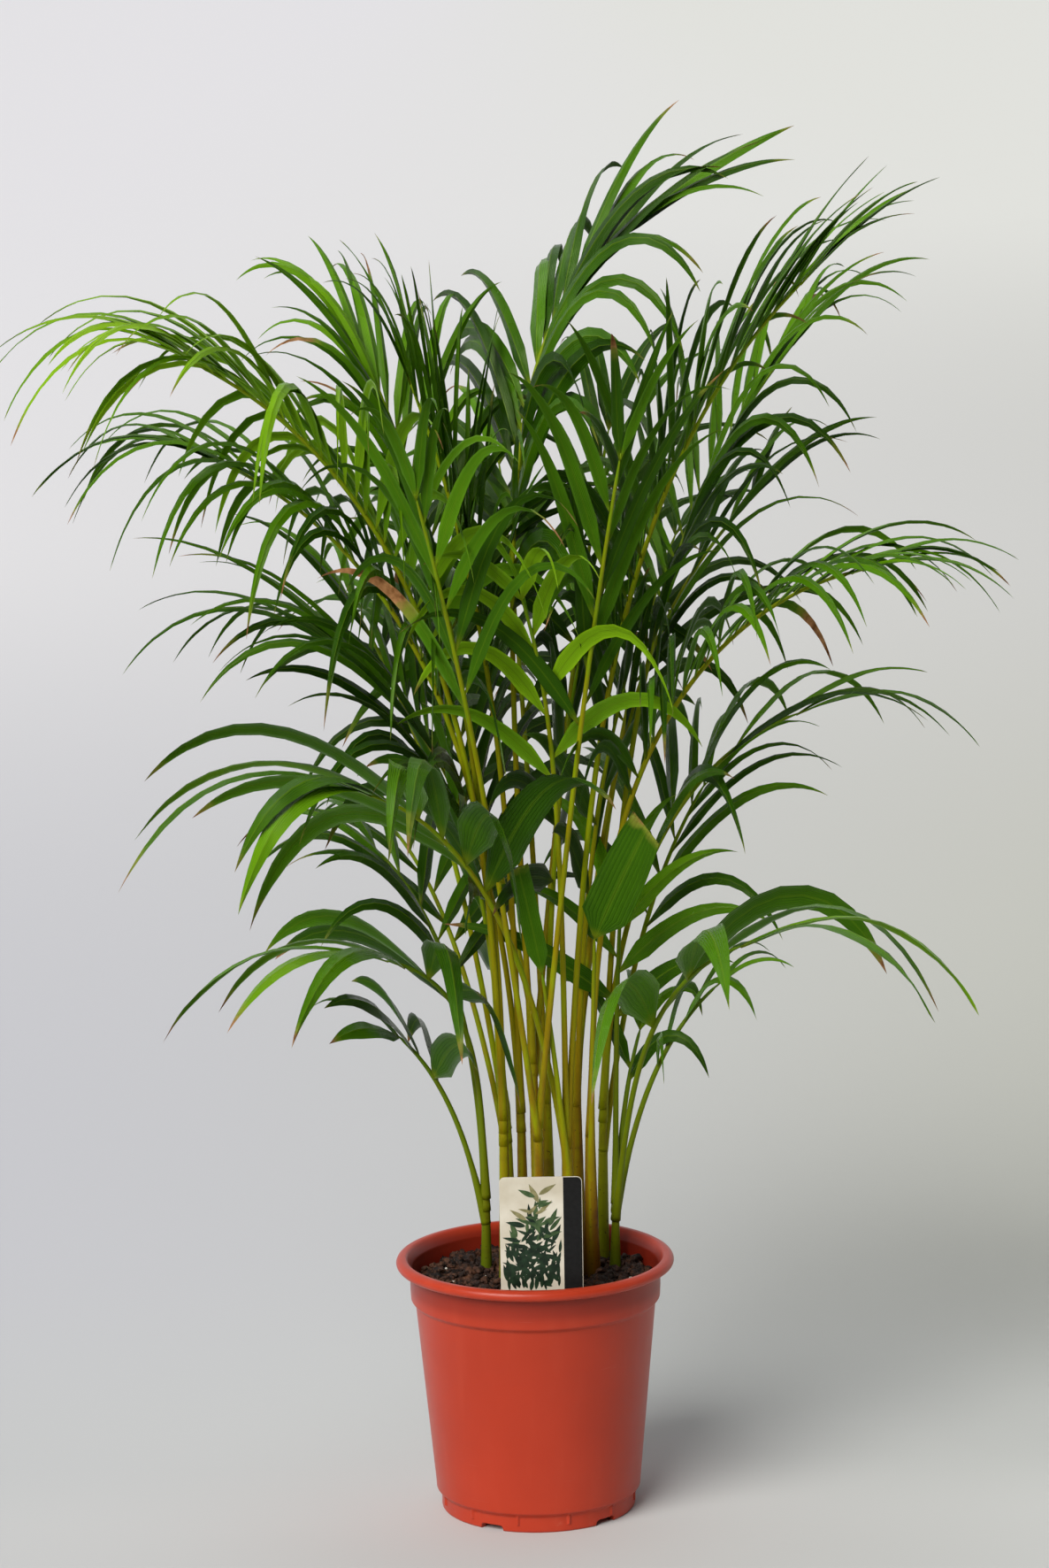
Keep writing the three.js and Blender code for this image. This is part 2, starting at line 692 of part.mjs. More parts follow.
// Every leaflet of a frond, from the foot of the midrib to its tip: where it grows, and its free direction
// before it gives way.
function leafletsOf(palm, frond, frondSeed) {
  const { foot, midrib, level } = stalkLine(palm, frond);
  const leaflets = [];
  for (let i = 0; i < frond.pairs; i++) {
    for (const side of frond.sides ?? BOTH_SIDES) {
      const seed = frondSeed + 2 * i + (side + 1) / 2;
      const stagger = side > 0 ? 0 : STAGGER / frond.pairs;
      const share = LAST_ROOT * (frond.pairs > 1 ? Math.min(i / (frond.pairs - 1) + stagger, 1) : 1);
      const along = stalkDirection(frond, foot + frond.leafy * share);
      const across = level.clone().addScaledVector(along, -level.dot(along)).normalize();
      across.applyAxisAngle(along, degrees(frond.roll ?? 0));
      const above = across.clone().cross(along);
      const fullReach = frond.reach * reachShape(share, frond.tipReach ?? TIP_REACH);
      leaflets.push({
        root: onRow(midrib, share),
        along,
        across: across.multiplyScalar(side),
        above,
        spread: lerp(...frond.spread, share) + SCATTER.spread * (draw(seed) - 0.5),
        rise: frond.rise + SCATTER.rise * (draw(seed + 0.25) - 0.5),
        reach: fullReach * vary(SCATTER.reach, seed + 0.5),
        width: frond.width * vary(SCATTER.width, seed + 0.75) * (1 - TIP_NARROWING * share),
        droop: frond.droop * vary(SCATTER.droop, seed + 0.6) * lerp(1, frond.tipDroop ?? TIP_DROOP, share),
        blunt: Boolean(frond.blunt),
      });
    }
  }
  return leaflets;
}

// The middle line of a leaflet that gives way by `lift` and `swing` and keeps the share `length` of its
// reach: points, directions and width vectors at equal steps. The width vector follows the bend of the line
// without twisting about it.
function midline(leaflet, length, lift, swing) {
  const { along, across, above } = leaflet;
  const spread = degrees(leaflet.spread + swing);
  const rise = degrees(leaflet.rise + lift);
  const heading = along
    .clone()
    .multiplyScalar(Math.cos(spread))
    .addScaledVector(across, Math.sin(spread) * Math.cos(rise))
    .addScaledVector(above, Math.sin(spread) * Math.sin(rise));
  const wide = above.clone().cross(heading).normalize();
  const step = (leaflet.reach * length) / BLADE_STEPS;
  const point = leaflet.root.clone();
  const line = [];
  for (let k = 0; k <= BLADE_STEPS; k++) {
    const s = k / BLADE_STEPS;
    const direction = heading.clone().addScaledVector(UP, -leaflet.droop * s ** DROOP_POWER).normalize();
    wide.addScaledVector(direction, -wide.dot(direction)).normalize();
    line.push({ s, point: point.clone(), direction, wide: wide.clone() });
    point.addScaledVector(direction, step);
  }
  return line;
}

// Share of a leaflet's full width at the share s of its length.
function breadth(s, blunt) {
  const opening = FOOT_BREADTH + (1 - FOOT_BREADTH) * Math.min(s / FULL_BREADTH_AT, 1);
  return blunt ? opening : opening * (1 - s ** TAPER_POWER);
}

// The leaflet's blade: a low ridge over a flat underside, on the stations that are past `start`, `pad`
// wider and thicker all round.
function bladeGeometry(leaflet, line, start = 0, pad = 0) {
  const measure = line[0].point.distanceTo(line[BLADE_STEPS].point);
  const inner = (measure > LONG_BLADE ? LONG_STATIONS : SHORT_STATIONS).filter((s) => s > start);
  const stations = [start, ...inner, ...(leaflet.blunt ? [1] : [])];
  const rings = stations.map((s) => {
    const { point, direction, wide } = line[Math.round(s * BLADE_STEPS)];
    const above = direction.clone().cross(wide);
    const half = (leaflet.width / 2) * breadth(s, leaflet.blunt) + pad;
    const ridge = RIDGE + RIDGE_SWELL * Math.sin(Math.PI * s) + 2 * pad;
    const middle = point.clone().addScaledVector(above, -pad);
    return [
      middle.clone().addScaledVector(wide, half),
      middle.clone().addScaledVector(above, ridge),
      middle.clone().addScaledVector(wide, -half),
    ];
  });
  return loft(rings, leaflet.blunt ? undefined : line[BLADE_STEPS].point);
}

// ---------------------------------------------------------------- giving way

// What stands in the way: each entry is a solid with the boxes round its stretches.
// A leaflet is tested with PROBE_PAD more all round, but not over its first FREE_FROM, in its own stalk.
const obstacles = [];
const PROBE_PAD = 0.35;
const FREE_FROM = 0.04;
const BOX_STEP = 5;

function boxesRound(points, radius) {
  const boxes = [];
  for (let i = 0; i + 1 < points.length; i += BOX_STEP) {
    const stretch = points.slice(i, i + BOX_STEP + 1);
    boxes.push(new THREE.Box3().setFromPoints(stretch).expandByScalar(radius));
  }
  return boxes;
}

const meet = (boxes, others) => boxes.some((box) => others.some((other) => box.intersectsBox(other)));

// Whether a leaflet on this line is clear of every obstacle but its own stalk.
function isClear(leaflet, line, ownStalk) {
  const points = line.filter(({ s }) => s >= FREE_FROM).map(({ point }) => point);
  const boxes = boxesRound(points, leaflet.width / 2 + PROBE_PAD);
  const near = obstacles.filter((entry) => entry.solid !== ownStalk && meet(boxes, entry.boxes));
  if (near.length === 0) return true;
  const probe = solidOf(bladeGeometry(leaflet, line, FREE_FROM, PROBE_PAD));
  const clear = near.every(({ solid }) => {
    const common = probe.intersect(solid);
    const empty = common.isEmpty();
    common.delete();
    return empty;
  });
  probe.delete();
  return clear;
}

// The first way for a leaflet to lie clear, or nothing if there is none.
function placeLeaflet(leaflet, ownStalk) {
  for (const length of LENGTHS) {
    for (const lift of LIFTS) {
      for (const swing of SWINGS) {
        const line = midline(leaflet, length, lift, swing);
        if (isClear(leaflet, line, ownStalk)) return line;
      }
    }
  }
  return undefined;
}

// ---------------------------------------------------------------- the whole clump

const SEEDS_PER_PALM = 1000;
const SEEDS_PER_FROND = 100;

function makePalms() {
  const pieces = PALMS.map((palm) => {
    const cane = caneSolid(palm);
    const caneLine = [canePoint(palm, SOIL_LEVEL), vector(palm.top)];
    obstacles.push({ solid: cane, boxes: boxesRound(caneLine, palm.radius) });
    const stalks = palm.fronds.map((frond) => {
      const stalk = stalkSolid(palm, frond);
      obstacles.push({ solid: stalk, boxes: boxesRound(stalkLine(palm, frond).row, STALK_RADIUS) });
      return stalk;
    });
    return { cane, stalks, blades: [] };
  });
  PALMS.forEach((palm, p) => {
    palm.fronds.forEach((frond, f) => {
      const seed = SEEDS_PER_PALM * (p + 1) + SEEDS_PER_FROND * f;
      const stalk = pieces[p].stalks[f];
      for (const leaflet of leafletsOf(palm, frond, seed)) {
        const line = placeLeaflet(leaflet, stalk);
        if (!line) continue;
        const blade = solidOf(bladeGeometry(leaflet, line));
        obstacles.push({
          solid: blade,
          boxes: boxesRound(line.map(({ point }) => point), leaflet.width / 2),
        });
        pieces[p].blades.push(blade);
      }
    });
  });
  return PALMS.map((palm, p) => {
    const { cane, stalks, blades } = pieces[p];
    return meshOf(palm.name, wasm.Manifold.union([cane, ...stalks, ...blades]), leafGreen);
  });
}

const pottedPalm = new THREE.Group();
pottedPalm.add(makePot(), makeSoil(), makeLabel(), ...makePalms());

export default pottedPalm;
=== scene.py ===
# A clump of young areca palms in a terracotta-coloured plastic pot, as a finely detailed model.
#
# The object stands on z = 0 with the pot's axis through the origin, +X to the right in the front view and
# the front of the pot towards -Y. Lengths are millimetres and angles degrees, except in the materials and
# for the floor, the lights and the camera, which are in metres. Meshes are made in metres.

import math
import random
from dataclasses import dataclass

import bpy
from mathutils import Matrix, Vector, noise
from mathutils.kdtree import KDTree


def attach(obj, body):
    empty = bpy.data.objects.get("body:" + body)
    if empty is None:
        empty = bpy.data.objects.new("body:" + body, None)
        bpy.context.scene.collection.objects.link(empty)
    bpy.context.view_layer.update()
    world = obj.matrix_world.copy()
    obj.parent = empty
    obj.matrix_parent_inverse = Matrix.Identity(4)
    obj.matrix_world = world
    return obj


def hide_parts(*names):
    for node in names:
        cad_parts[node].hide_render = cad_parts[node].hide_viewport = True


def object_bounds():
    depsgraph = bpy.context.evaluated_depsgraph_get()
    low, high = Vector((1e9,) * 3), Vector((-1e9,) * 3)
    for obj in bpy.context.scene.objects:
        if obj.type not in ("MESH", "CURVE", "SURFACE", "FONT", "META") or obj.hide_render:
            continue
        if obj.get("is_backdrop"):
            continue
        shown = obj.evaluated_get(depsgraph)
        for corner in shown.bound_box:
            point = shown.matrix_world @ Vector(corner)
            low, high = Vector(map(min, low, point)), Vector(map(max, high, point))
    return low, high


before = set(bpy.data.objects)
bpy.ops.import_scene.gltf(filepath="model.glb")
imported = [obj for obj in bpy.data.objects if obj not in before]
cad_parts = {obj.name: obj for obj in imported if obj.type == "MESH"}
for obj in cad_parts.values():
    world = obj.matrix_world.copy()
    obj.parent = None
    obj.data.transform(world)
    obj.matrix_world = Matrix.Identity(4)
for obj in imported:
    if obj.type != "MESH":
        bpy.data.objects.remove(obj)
solid_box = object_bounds()

MM = 0.001
BODY = "root"
UP = Vector((0, 0, 1))

# ---- dimensions shared with the solids

RIM_RADIUS = 105
POT_HEIGHT = 195
LIP_HEIGHT = 8
MOUTH_RADIUS = 96.5
COLLAR_RADIUS = 94.6
COLLAR_BOTTOM = 163
BODY_TOP_RADIUS = 90.8
BODY_FOOT_RADIUS = 77.4
FOOT_RADIUS = 73.6
FOOT_HEIGHT = 12
FOOT_RING_WIDTH = 7
WALL = 1.8
FLOOR_UNDERSIDE = 5
FLOOR_TOP = 8
REST_DISC_RADIUS = 30
NOTCHES = 5
NOTCH_WIDTH = 19
NOTCH_HEIGHT = 4.5
FIRST_NOTCH_ANGLE = -29
RIBS = 12
RIB_WIDTH = 2.2
RIB_HEIGHT = 6
RIB_DEPTH = 2.6
FIRST_RIB_ANGLE = -12.5

SOIL_LEVEL = 177
SOIL_LUMP = 2.2
CLEARANCE = 0.3

LABEL_WIDTH = 61
LABEL_TOP = 276
LABEL_SHOULDER = 189
LABEL_CORNER = 4
LABEL_THICKNESS = 1
LABEL_X = 5
LABEL_Y = -80
STAKE_WIDTH = 13
STAKE_TOP = 182
STAKE_TIP = 138

CANE_TAPER = 0.55
STALK_RADIUS = 2.5
STALK_TIP_RADIUS = 1.2
STALK_STEPS = 60
PETIOLE_STEP = 75
MIDRIB_STEP = 38
TURN_POWER = 2

LONGEST_AT = 0.35
LAST_ROOT = 0.97
TIP_NARROWING = 0.25
STAGGER = 0.45
SPREAD_SCATTER = 15
RISE_SCATTER = 26
REACH_SCATTER = 0.24
WIDTH_SCATTER = 0.3
DROOP_SCATTER = 0.9

RIDGE = 0.8
RIDGE_SWELL = 0.8
FOOT_BREADTH = 0.05
FULL_BREADTH_AT = 0.2
TAPER_POWER = 2.4
BLADE_STEPS = 25
DROOP_POWER = 1.6
LENGTHS = [1, 0.88, 0.74, 0.6, 0.45]
LIFTS = [0, 8, -8, 16, -16, 26, -26]
SWINGS = [0, 7, -7, 14, -14]
SEEDS_PER_PALM = 1000
SEEDS_PER_FROND = 100

# ---- the palms of the clump


@dataclass
class Frond:
    """One frond: a stalk that leaves the cane, arches, and ends in the midrib that carries leaflets."""

    start: float  # the height at which the stalk leaves the cane
    heading: float  # where it grows to: 0 is +X, -90 the front
    lean: float  # its angle off the vertical at the cane
    arch: float  # how much further it bends over its length
    length: float
    leafy: float  # the last share of the length, which is the midrib
    pairs: int  # of leaflets
    reach: float  # the length of the longest leaflet
    width: float  # and its width
    spread: tuple  # the angle between leaflet and midrib at the midrib's foot and at its tip
    rise: float  # how far the leaflets lift above the plane of the frond
    droop: float  # how strongly they bend down
    # The tones are partly painted light and shade: higher on the lit upper left of the clump, lower for the
    # fronds at its back and deep inside it.
    tone: float  # 0 is the darkest green, 1 is lime
    turn: float = 0  # how far the stalk swings about the vertical
    curl: float = 2  # the higher, the later the stalk bends
    roll: float = 0  # turns the frond about its midrib
    tip_reach: float = 0.6  # the share of its length that the last leaflet keeps
    tip_droop: float = 0.8  # and the share of its droop
    sides: tuple = (1, -1)  # the sides of the midrib that carry leaflets
    blunt: bool = False  # whether the blades end torn across
    worn: float = 0.35  # the share of the leaflets that have a dried tip
    dried: tuple = ()  # the numbers of leaflets that have dried far back


@dataclass
class Palm:
    """One palm of the clump: a cane and its fronds."""

    name: str
    root: tuple  # where the cane leaves the soil, as (x, y)
    top: tuple  # the top of the cane, as (x, y, z)
    radius: float  # of the cane at the soil
    # Low values of brown also bring painted shade onto the cane and its stalks, for the low palms under the
    # crown.
    brown: float  # 0 is a fresh green cane, 1 a brown one
    fronds: list


PALMS = [
    Palm("palm_low_left", root=(-37, 20), top=(-36, 14, 262), radius=4.1, brown=0.1, fronds=[
        Frond(
            start=215, heading=-168, lean=12, arch=34, length=165, leafy=0.3, pairs=3, reach=135,
            width=28, spread=(58, 25), rise=15, droop=1.7, tone=0.24, worn=0.9,
        ),
        Frond(
            start=235, heading=-108, lean=4, arch=70, turn=-50, length=240, leafy=0.3, pairs=4, reach=185,
            width=27, spread=(62, 18), rise=12, droop=1.9, tip_reach=1, tone=0.38, worn=0.8,
        ),
        Frond(
            start=225, heading=142, lean=3, arch=54, length=300, leafy=0.4, pairs=5, reach=170,
            width=15, spread=(50, 16), rise=25, droop=1.6, tone=0.22,
        ),
    ]),
    Palm("palm_upper_left", root=(-22, 0), top=(-22, -2, 330), radius=4.9, brown=0.45, fronds=[
        Frond(
            start=300, heading=-150, lean=2, arch=63, length=670, leafy=0.46, pairs=12, reach=215,
            width=12, spread=(46, 12), rise=35, droop=2.3, tip_reach=0.75, tone=0.7,
        ),
        Frond(
            start=290, heading=178, lean=0, arch=70, length=600, leafy=0.48, pairs=11, reach=210,
            width=12, spread=(48, 12), rise=25, droop=2.6, tip_reach=0.65, tone=0.34,
        ),
        Frond(
            start=280, heading=131, lean=3, arch=34, length=620, leafy=0.4, pairs=8, reach=190,
            width=12, spread=(42, 14), rise=35, droop=1.4, tone=0.36,
        ),
    ]),
    Palm("palm_middle_left", root=(-8, 22), top=(-9, 20, 335), radius=4.7, brown=0.7, fronds=[
        Frond(
            start=285, heading=156, lean=3, arch=52, length=390, leafy=0.5, pairs=8, reach=235,
            width=13, spread=(52, 14), rise=22, droop=1.8, tip_reach=0.8, tone=0.24,
        ),
        Frond(
            start=300, heading=173, lean=1, arch=20, length=565, leafy=0.42, pairs=8, reach=185,
            width=12, spread=(38, 12), rise=30, droop=0.9, tone=0.34,
        ),
    ]),
    Palm("palm_tall", root=(4, 8), top=(0, 14, 380), radius=5, brown=0.6, fronds=[
        Frond(
            start=340, heading=117, lean=6, arch=50, turn=-122, curl=5, length=655, leafy=0.48, pairs=10,
            reach=185, width=20, spread=(58, 6), rise=15, droop=2.9, tip_reach=0.75, tip_droop=0.15,
            tone=0.2,
        ),
        Frond(
            start=330, heading=74, lean=22, arch=18, length=530, leafy=0.4, pairs=5, reach=180,
            width=15, spread=(50, 16), rise=35, droop=1.6, tone=0.2,
        ),
    ]),
    Palm("palm_forked", root=(27, -10), top=(25, -11, 292), radius=6.4, brown=0.55, fronds=[
        Frond(
            start=275, heading=-138, lean=13, arch=58, length=370, leafy=0.42, pairs=6, reach=245,
            width=31, spread=(52, 14), rise=22, droop=2, tip_reach=0.9, tone=0.38, worn=0.8,
        ),
        Frond(
            start=280, heading=-19, lean=4, arch=44, curl=2.5, length=700, leafy=0.5, pairs=11, reach=200,
            width=15, spread=(44, 12), rise=30, droop=1.2, tip_reach=0.55, tip_droop=0.5, tone=0.34,
        ),
        Frond(
            start=285, heading=-92, lean=6, arch=28, turn=-24, length=450, leafy=0.36, pairs=4, reach=150,
            width=17, spread=(50, 22), rise=25, droop=2.4, tone=0.8,
        ),
        Frond(
            start=262, heading=-115, lean=12, arch=6, roll=12, length=165, leafy=0.15, pairs=1,
            sides=(-1,), reach=145, width=24, spread=(4, 4), rise=10, droop=0.1, blunt=True, tone=0.22,
        ),
    ]),
    Palm("palm_right", root=(43, 6), top=(43, 2, 300), radius=6.2, brown=1.0, fronds=[
        Frond(
            start=285, heading=-17, lean=2, arch=78, curl=2.1, length=530, leafy=0.5, pairs=10, reach=190,
            width=13, spread=(50, 14), rise=28, droop=1.8, tip_reach=0.55, tone=0.32,
        ),
        Frond(
            start=245, heading=-83, lean=10, arch=4, roll=-15, length=205, leafy=0.12, pairs=1,
            sides=(-1,), reach=172, width=45, spread=(15, 15), rise=10, droop=0.1, blunt=True, tone=0.2,
        ),
    ]),
    Palm("palm_low_right", root=(61, 26), top=(62, 20, 235), radius=4, brown=0.1, fronds=[
        Frond(
            start=215, heading=-72, lean=18, arch=50, turn=40, length=300, leafy=0.4, pairs=3, reach=240,
            width=36, spread=(40, 12), rise=20, droop=2.1, tip_reach=0.95, tone=0.44, worn=0.9,
        ),
        Frond(
            start=220, heading=5, lean=12, arch=38, length=196, leafy=0.4, pairs=3, reach=125,
            width=13, spread=(42, 18), rise=20, droop=1.6, tone=0.4,
        ),
        Frond(
            start=222, heading=55, lean=8, arch=22, length=140, leafy=0.3, pairs=2, reach=115,
            width=13, spread=(45, 20), rise=15, droop=1.6, tone=0.34,
        ),
        Frond(
            start=228, heading=75, lean=3, arch=14, length=245, leafy=0.42, pairs=4, reach=140,
            width=16, spread=(52, 25), rise=20, droop=1.1, tone=0.36,
        ),
    ]),
    Palm("palm_middle_right", root=(52, 46), top=(54, 48, 318), radius=4.8, brown=0.3, fronds=[
        Frond(
            start=285, heading=14, lean=4, arch=72, length=372, leafy=0.48, pairs=6, reach=205,
            width=16, spread=(48, 14), rise=25, droop=1.6, tip_reach=0.7, tone=0.34,
        ),
        Frond(
            start=295, heading=28, lean=4, arch=44, curl=2.3, length=620, leafy=0.45, pairs=9, reach=190,
            width=12, spread=(44, 14), rise=30, droop=1.6, tone=0.3, dried=(14,),
        ),
        Frond(
            start=262, heading=42, lean=12, arch=32, length=297, leafy=0.42, pairs=5, reach=175,
            width=13, spread=(46, 16), rise=25, droop=1.6, tone=0.36,
        ),
    ]),
    Palm("palm_back_right", root=(34, 34), top=(33, 40, 350), radius=5.6, brown=0.6, fronds=[
        Frond(
            start=310, heading=62, lean=12, arch=36, turn=-50, length=490, leafy=0.44, pairs=6, reach=185,
            width=13, spread=(44, 14), rise=30, droop=1.2, tone=0.24,
        ),
        Frond(
            start=320, heading=70, lean=22, arch=36, length=475, leafy=0.44, pairs=5, reach=180,
            width=14, spread=(52, 16), rise=30, droop=1.7, tone=0.2,
        ),
        Frond(
            start=300, heading=-20, lean=3, arch=14, length=330, leafy=0.5, pairs=4, reach=170,
            width=24, spread=(58, 22), rise=10, droop=1, tone=0.16,
        ),
    ]),
    Palm("palm_back", root=(12, 44), top=(10, 52, 350), radius=5.6, brown=0.5, fronds=[
        Frond(
            start=320, heading=98, lean=16, arch=26, length=500, leafy=0.44, pairs=6, reach=185,
            width=14, spread=(52, 16), rise=30, droop=1.7, tone=0.22,
        ),
        Frond(
            start=310, heading=117, lean=22, arch=44, length=430, leafy=0.44, pairs=5, reach=175,
            width=14, spread=(52, 16), rise=25, droop=1.8, tone=0.22,
        ),
        Frond(
            start=300, heading=-20, lean=2, arch=10, length=345, leafy=0.5, pairs=5, reach=175,
            width=25, spread=(60, 20), rise=8, droop=1, tone=0.14,
        ),
    ]),
    Palm("palm_back_left", root=(-18, 46), top=(-20, 50, 310), radius=5, brown=0.4, fronds=[
        Frond(
            start=280, heading=136, lean=12, arch=30, length=427, leafy=0.44, pairs=5, reach=180,
            width=13, spread=(48, 16), rise=25, droop=1.7, tone=0.22,
        ),
        Frond(
            start=262, heading=121, lean=22, arch=50, length=307, leafy=0.45, pairs=4, reach=160,
            width=14, spread=(50, 16), rise=20, droop=1.9, tone=0.22,
        ),
        Frond(
            start=270, heading=-150, lean=3, arch=16, length=270, leafy=0.5, pairs=4, reach=160,
            width=23, spread=(58, 22), rise=10, droop=1.1, tone=0.16,
        ),
    ]),
    Palm("palm_front", root=(4, -22), top=(4, -26, 318), radius=5, brown=0.65, fronds=[
        Frond(
            start=290, heading=-119, lean=14, arch=12, length=530, leafy=0.34, pairs=6, reach=180,
            width=12, spread=(34, 14), rise=30, droop=1.4, tone=0.36, dried=(1,),
        ),
        Frond(
            start=300, heading=-60, lean=12, arch=7, length=533, leafy=0.4, pairs=6, reach=185,
            width=13, spread=(32, 12), rise=30, droop=0.9, tone=0.28,
        ),
    ]),
]

# ---- small helpers


def draw(seed):
    """A number between 0 and 1 that is always the same for the same seed."""
    wave = math.sin(seed * 12.9898) * 43758.5453
    return wave - math.floor(wave)


def drawn_off(scatter, seed):
    """A seeded number, at most half of `scatter` away from 0."""
    return scatter * (draw(seed) - 0.5)


def either_way(rng, most):
    """A random number between -most and most."""
    return rng.uniform(-most, most)


def lerp(a, b, share):
    """The value at the share between a and b."""
    return a + (b - a) * share


def soft_step(low, high, x):
    """0 below low, 1 above high, and a soft step between them."""
    t = min(max((x - low) / (high - low), 0), 1)
    return t * t * (3 - 2 * t)


def on_circle(radius, turn):
    """x and y of a point round the z axis, `turn` radians from +X."""
    return radius * math.cos(turn), radius * math.sin(turn)


class Skin:
    """Points, faces and named numbers at each point, gathered for one mesh."""

    def __init__(self, *names):
        self.points = []
        self.faces = []
        self.values = {name: [] for name in names}

    def point(self, place, **values):
        """Adds a point and returns its number."""
        self.points.append(place)
        for name, numbers in self.values.items():
            numbers.append(values.get(name, 0.0))
        return len(self.points) - 1

    def tube(self, rings):
        """Skins a row of rings, each a list of point numbers, all of one length, and closes its ends."""
        sides = len(rings[0])
        for low, high in zip(rings, rings[1:]):
            for j in range(sides):
                k = (j + 1) % sides
                self.faces.append((low[j], low[k], high[k], high[j]))
        self.faces.append(tuple(reversed(rings[0])))
        self.faces.append(tuple(rings[-1]))

    def revolve(self, first, columns, last, downward=False):
        """Skins columns of points that stand round an axis, between a first and a last point on it."""
        faces = []
        for left, right in zip(columns, columns[1:] + columns[:1]):
            faces.append((first, right[0], left[0]))
            faces.append((last, left[-1], right[-1]))
            for i in range(len(left) - 1):
                faces.append((left[i], right[i], right[i + 1], left[i + 1]))
        self.faces += [face[:1] + face[:0:-1] if downward else face for face in faces]

    def build(self, name, material, slot, crease=None, smooth=True):
        """The finished piece on the body. With `crease`, edges are sharp where that is 1 at both ends."""
        mesh = bpy.data.meshes.new(name)
        mesh.from_pydata([Vector(p) * MM for p in self.points], [], self.faces)
        for key, numbers in self.values.items():
            attribute = mesh.attributes.new(key, "FLOAT", "POINT")
            attribute.data.foreach_set("value", numbers)
        mesh.polygons.foreach_set("use_smooth", [smooth] * len(mesh.polygons))
        if crease:
            edge_of = self.values[crease]
            sharp = [edge_of[e.vertices[0]] == 1 and edge_of[e.vertices[1]] == 1 for e in mesh.edges]
            mesh.attributes.new("sharp_edge", "BOOLEAN", "EDGE").data.foreach_set("value", sharp)
        mesh.materials.append(material)
        mesh.update()
        made = bpy.data.objects.new(name, mesh)
        bpy.context.scene.collection.objects.link(made)
        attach(made, BODY)
        return made


def opaque(color):
    """An RGB colour with its alpha, or the socket that was given."""
    return color if isinstance(color, bpy.types.NodeSocket) else (*color, 1)


class Paint:
    """A material's node tree, with a Principled shader at its end."""

    def __init__(self, name):
        self.material = bpy.data.materials.new(name)
        self.material.use_nodes = True
        self.tree = self.material.node_tree
        self.tree.nodes.clear()
        self.shader = self.add("ShaderNodeBsdfPrincipled")
        self.add("ShaderNodeOutputMaterial", {"Surface": self.shader.outputs["BSDF"]})
        self.place = self.add("ShaderNodeTexCoord").outputs["Object"]

    def add(self, kind, feeds=None, **settings):
        """A node with these settings, and with values or other nodes' outputs fed to its inputs."""
        node = self.tree.nodes.new(kind)
        for key, value in settings.items():
            setattr(node, key, value)
        for key, value in (feeds or {}).items():
            self.feed(node, key, value)
        return node

    def feed(self, node, key, value):
        """Feeds a plain value or another node's output to one input of the node."""
        if isinstance(value, bpy.types.NodeSocket):
            self.tree.links.new(value, node.inputs[key])
        else:
            node.inputs[key].default_value = value

    def value(self, name):
        """The mesh's number of that name."""
        return self.add("ShaderNodeAttribute", attribute_name=name).outputs["Fac"]

    def axes(self):
        """X, Y and Z of the place."""
        return self.add("ShaderNodeSeparateXYZ", {"Vector": self.place}).outputs

    def math(self, operation, *values):
        return self.add("ShaderNodeMath", dict(enumerate(values)), operation=operation).outputs[0]

    def times(self, a, b):
        return self.math("MULTIPLY", a, b)

    def total(self, first, *others):
        for other in others:
            first = self.math("ADD", first, other)
        return first

    def rest(self, x):
        """What x leaves of 1."""
        return self.math("SUBTRACT", 1.0, x)

    def scaled(self, x, low, high):
        """`low` where x is 0 and `high` where it is 1."""
        return self.math("MULTIPLY_ADD", x, high - low, low)

    def sine(self, x, factor):
        return self.math("SINE", self.times(x, factor))

    def step(self, x, low, high):
        """0 where x is below low, 1 above high, with a soft step between."""
        feeds = {"Value": x, "From Min": low, "From Max": high}
        return self.add("ShaderNodeMapRange", feeds, interpolation_type="SMOOTHSTEP").outputs["Result"]

    def noise(self, scale, detail=3.0, stretch=None):
        """Soft random patches; `stretch` scales the place along X, Y and Z first."""
        place = self.place
        if stretch:
            place = self.add("ShaderNodeMapping", {"Vector": place, "Scale": stretch}).outputs["Vector"]
        feeds = {"Vector": place, "Scale": scale, "Detail": detail}
        return self.add("ShaderNodeTexNoise", feeds).outputs["Fac"]

    def cells(self, scale):
        return self.add("ShaderNodeTexVoronoi", {"Vector": self.place, "Scale": scale}).outputs["Distance"]

    def ramp(self, x, stops):
        """The colour at x between stops, each a position and a colour."""
        node = self.add("ShaderNodeValToRGB", {"Fac": x})
        elements = node.color_ramp.elements
        while len(elements) < len(stops):
            elements.new(0.5)
        for element, (position, color) in zip(elements, stops):
            element.position = position
            element.color = opaque(color)
        return node.outputs["Color"]

    def mix(self, share, a, b):
        feeds = {"Factor": share, 6: opaque(a), 7: opaque(b)}
        return self.add("ShaderNodeMix", feeds, data_type="RGBA").outputs[2]

    def tinted(self, color, tint, mask, most):
        """The colour, mixed with a tint by the share `most` where the mask is 1."""
        return self.mix(self.times(mask, most), color, tint)

    def finish(self, color, roughness, bump=None, depth=0.0002, strength=0.5, **others):
        """The finished material. `bump` is its relief and `depth` that relief's height."""
        inputs = {"Base Color": color, "Roughness": roughness}
        inputs.update({name.replace("_", " "): value for name, value in others.items()})
        if bump is not None:
            feeds = {"Strength": strength, "Distance": depth, "Height": bump}
            inputs["Normal"] = self.add("ShaderNodeBump", feeds).outputs["Normal"]
        for name, value in inputs.items():
            self.feed(self.shader, name, value)
        return self.material


# ---- materials

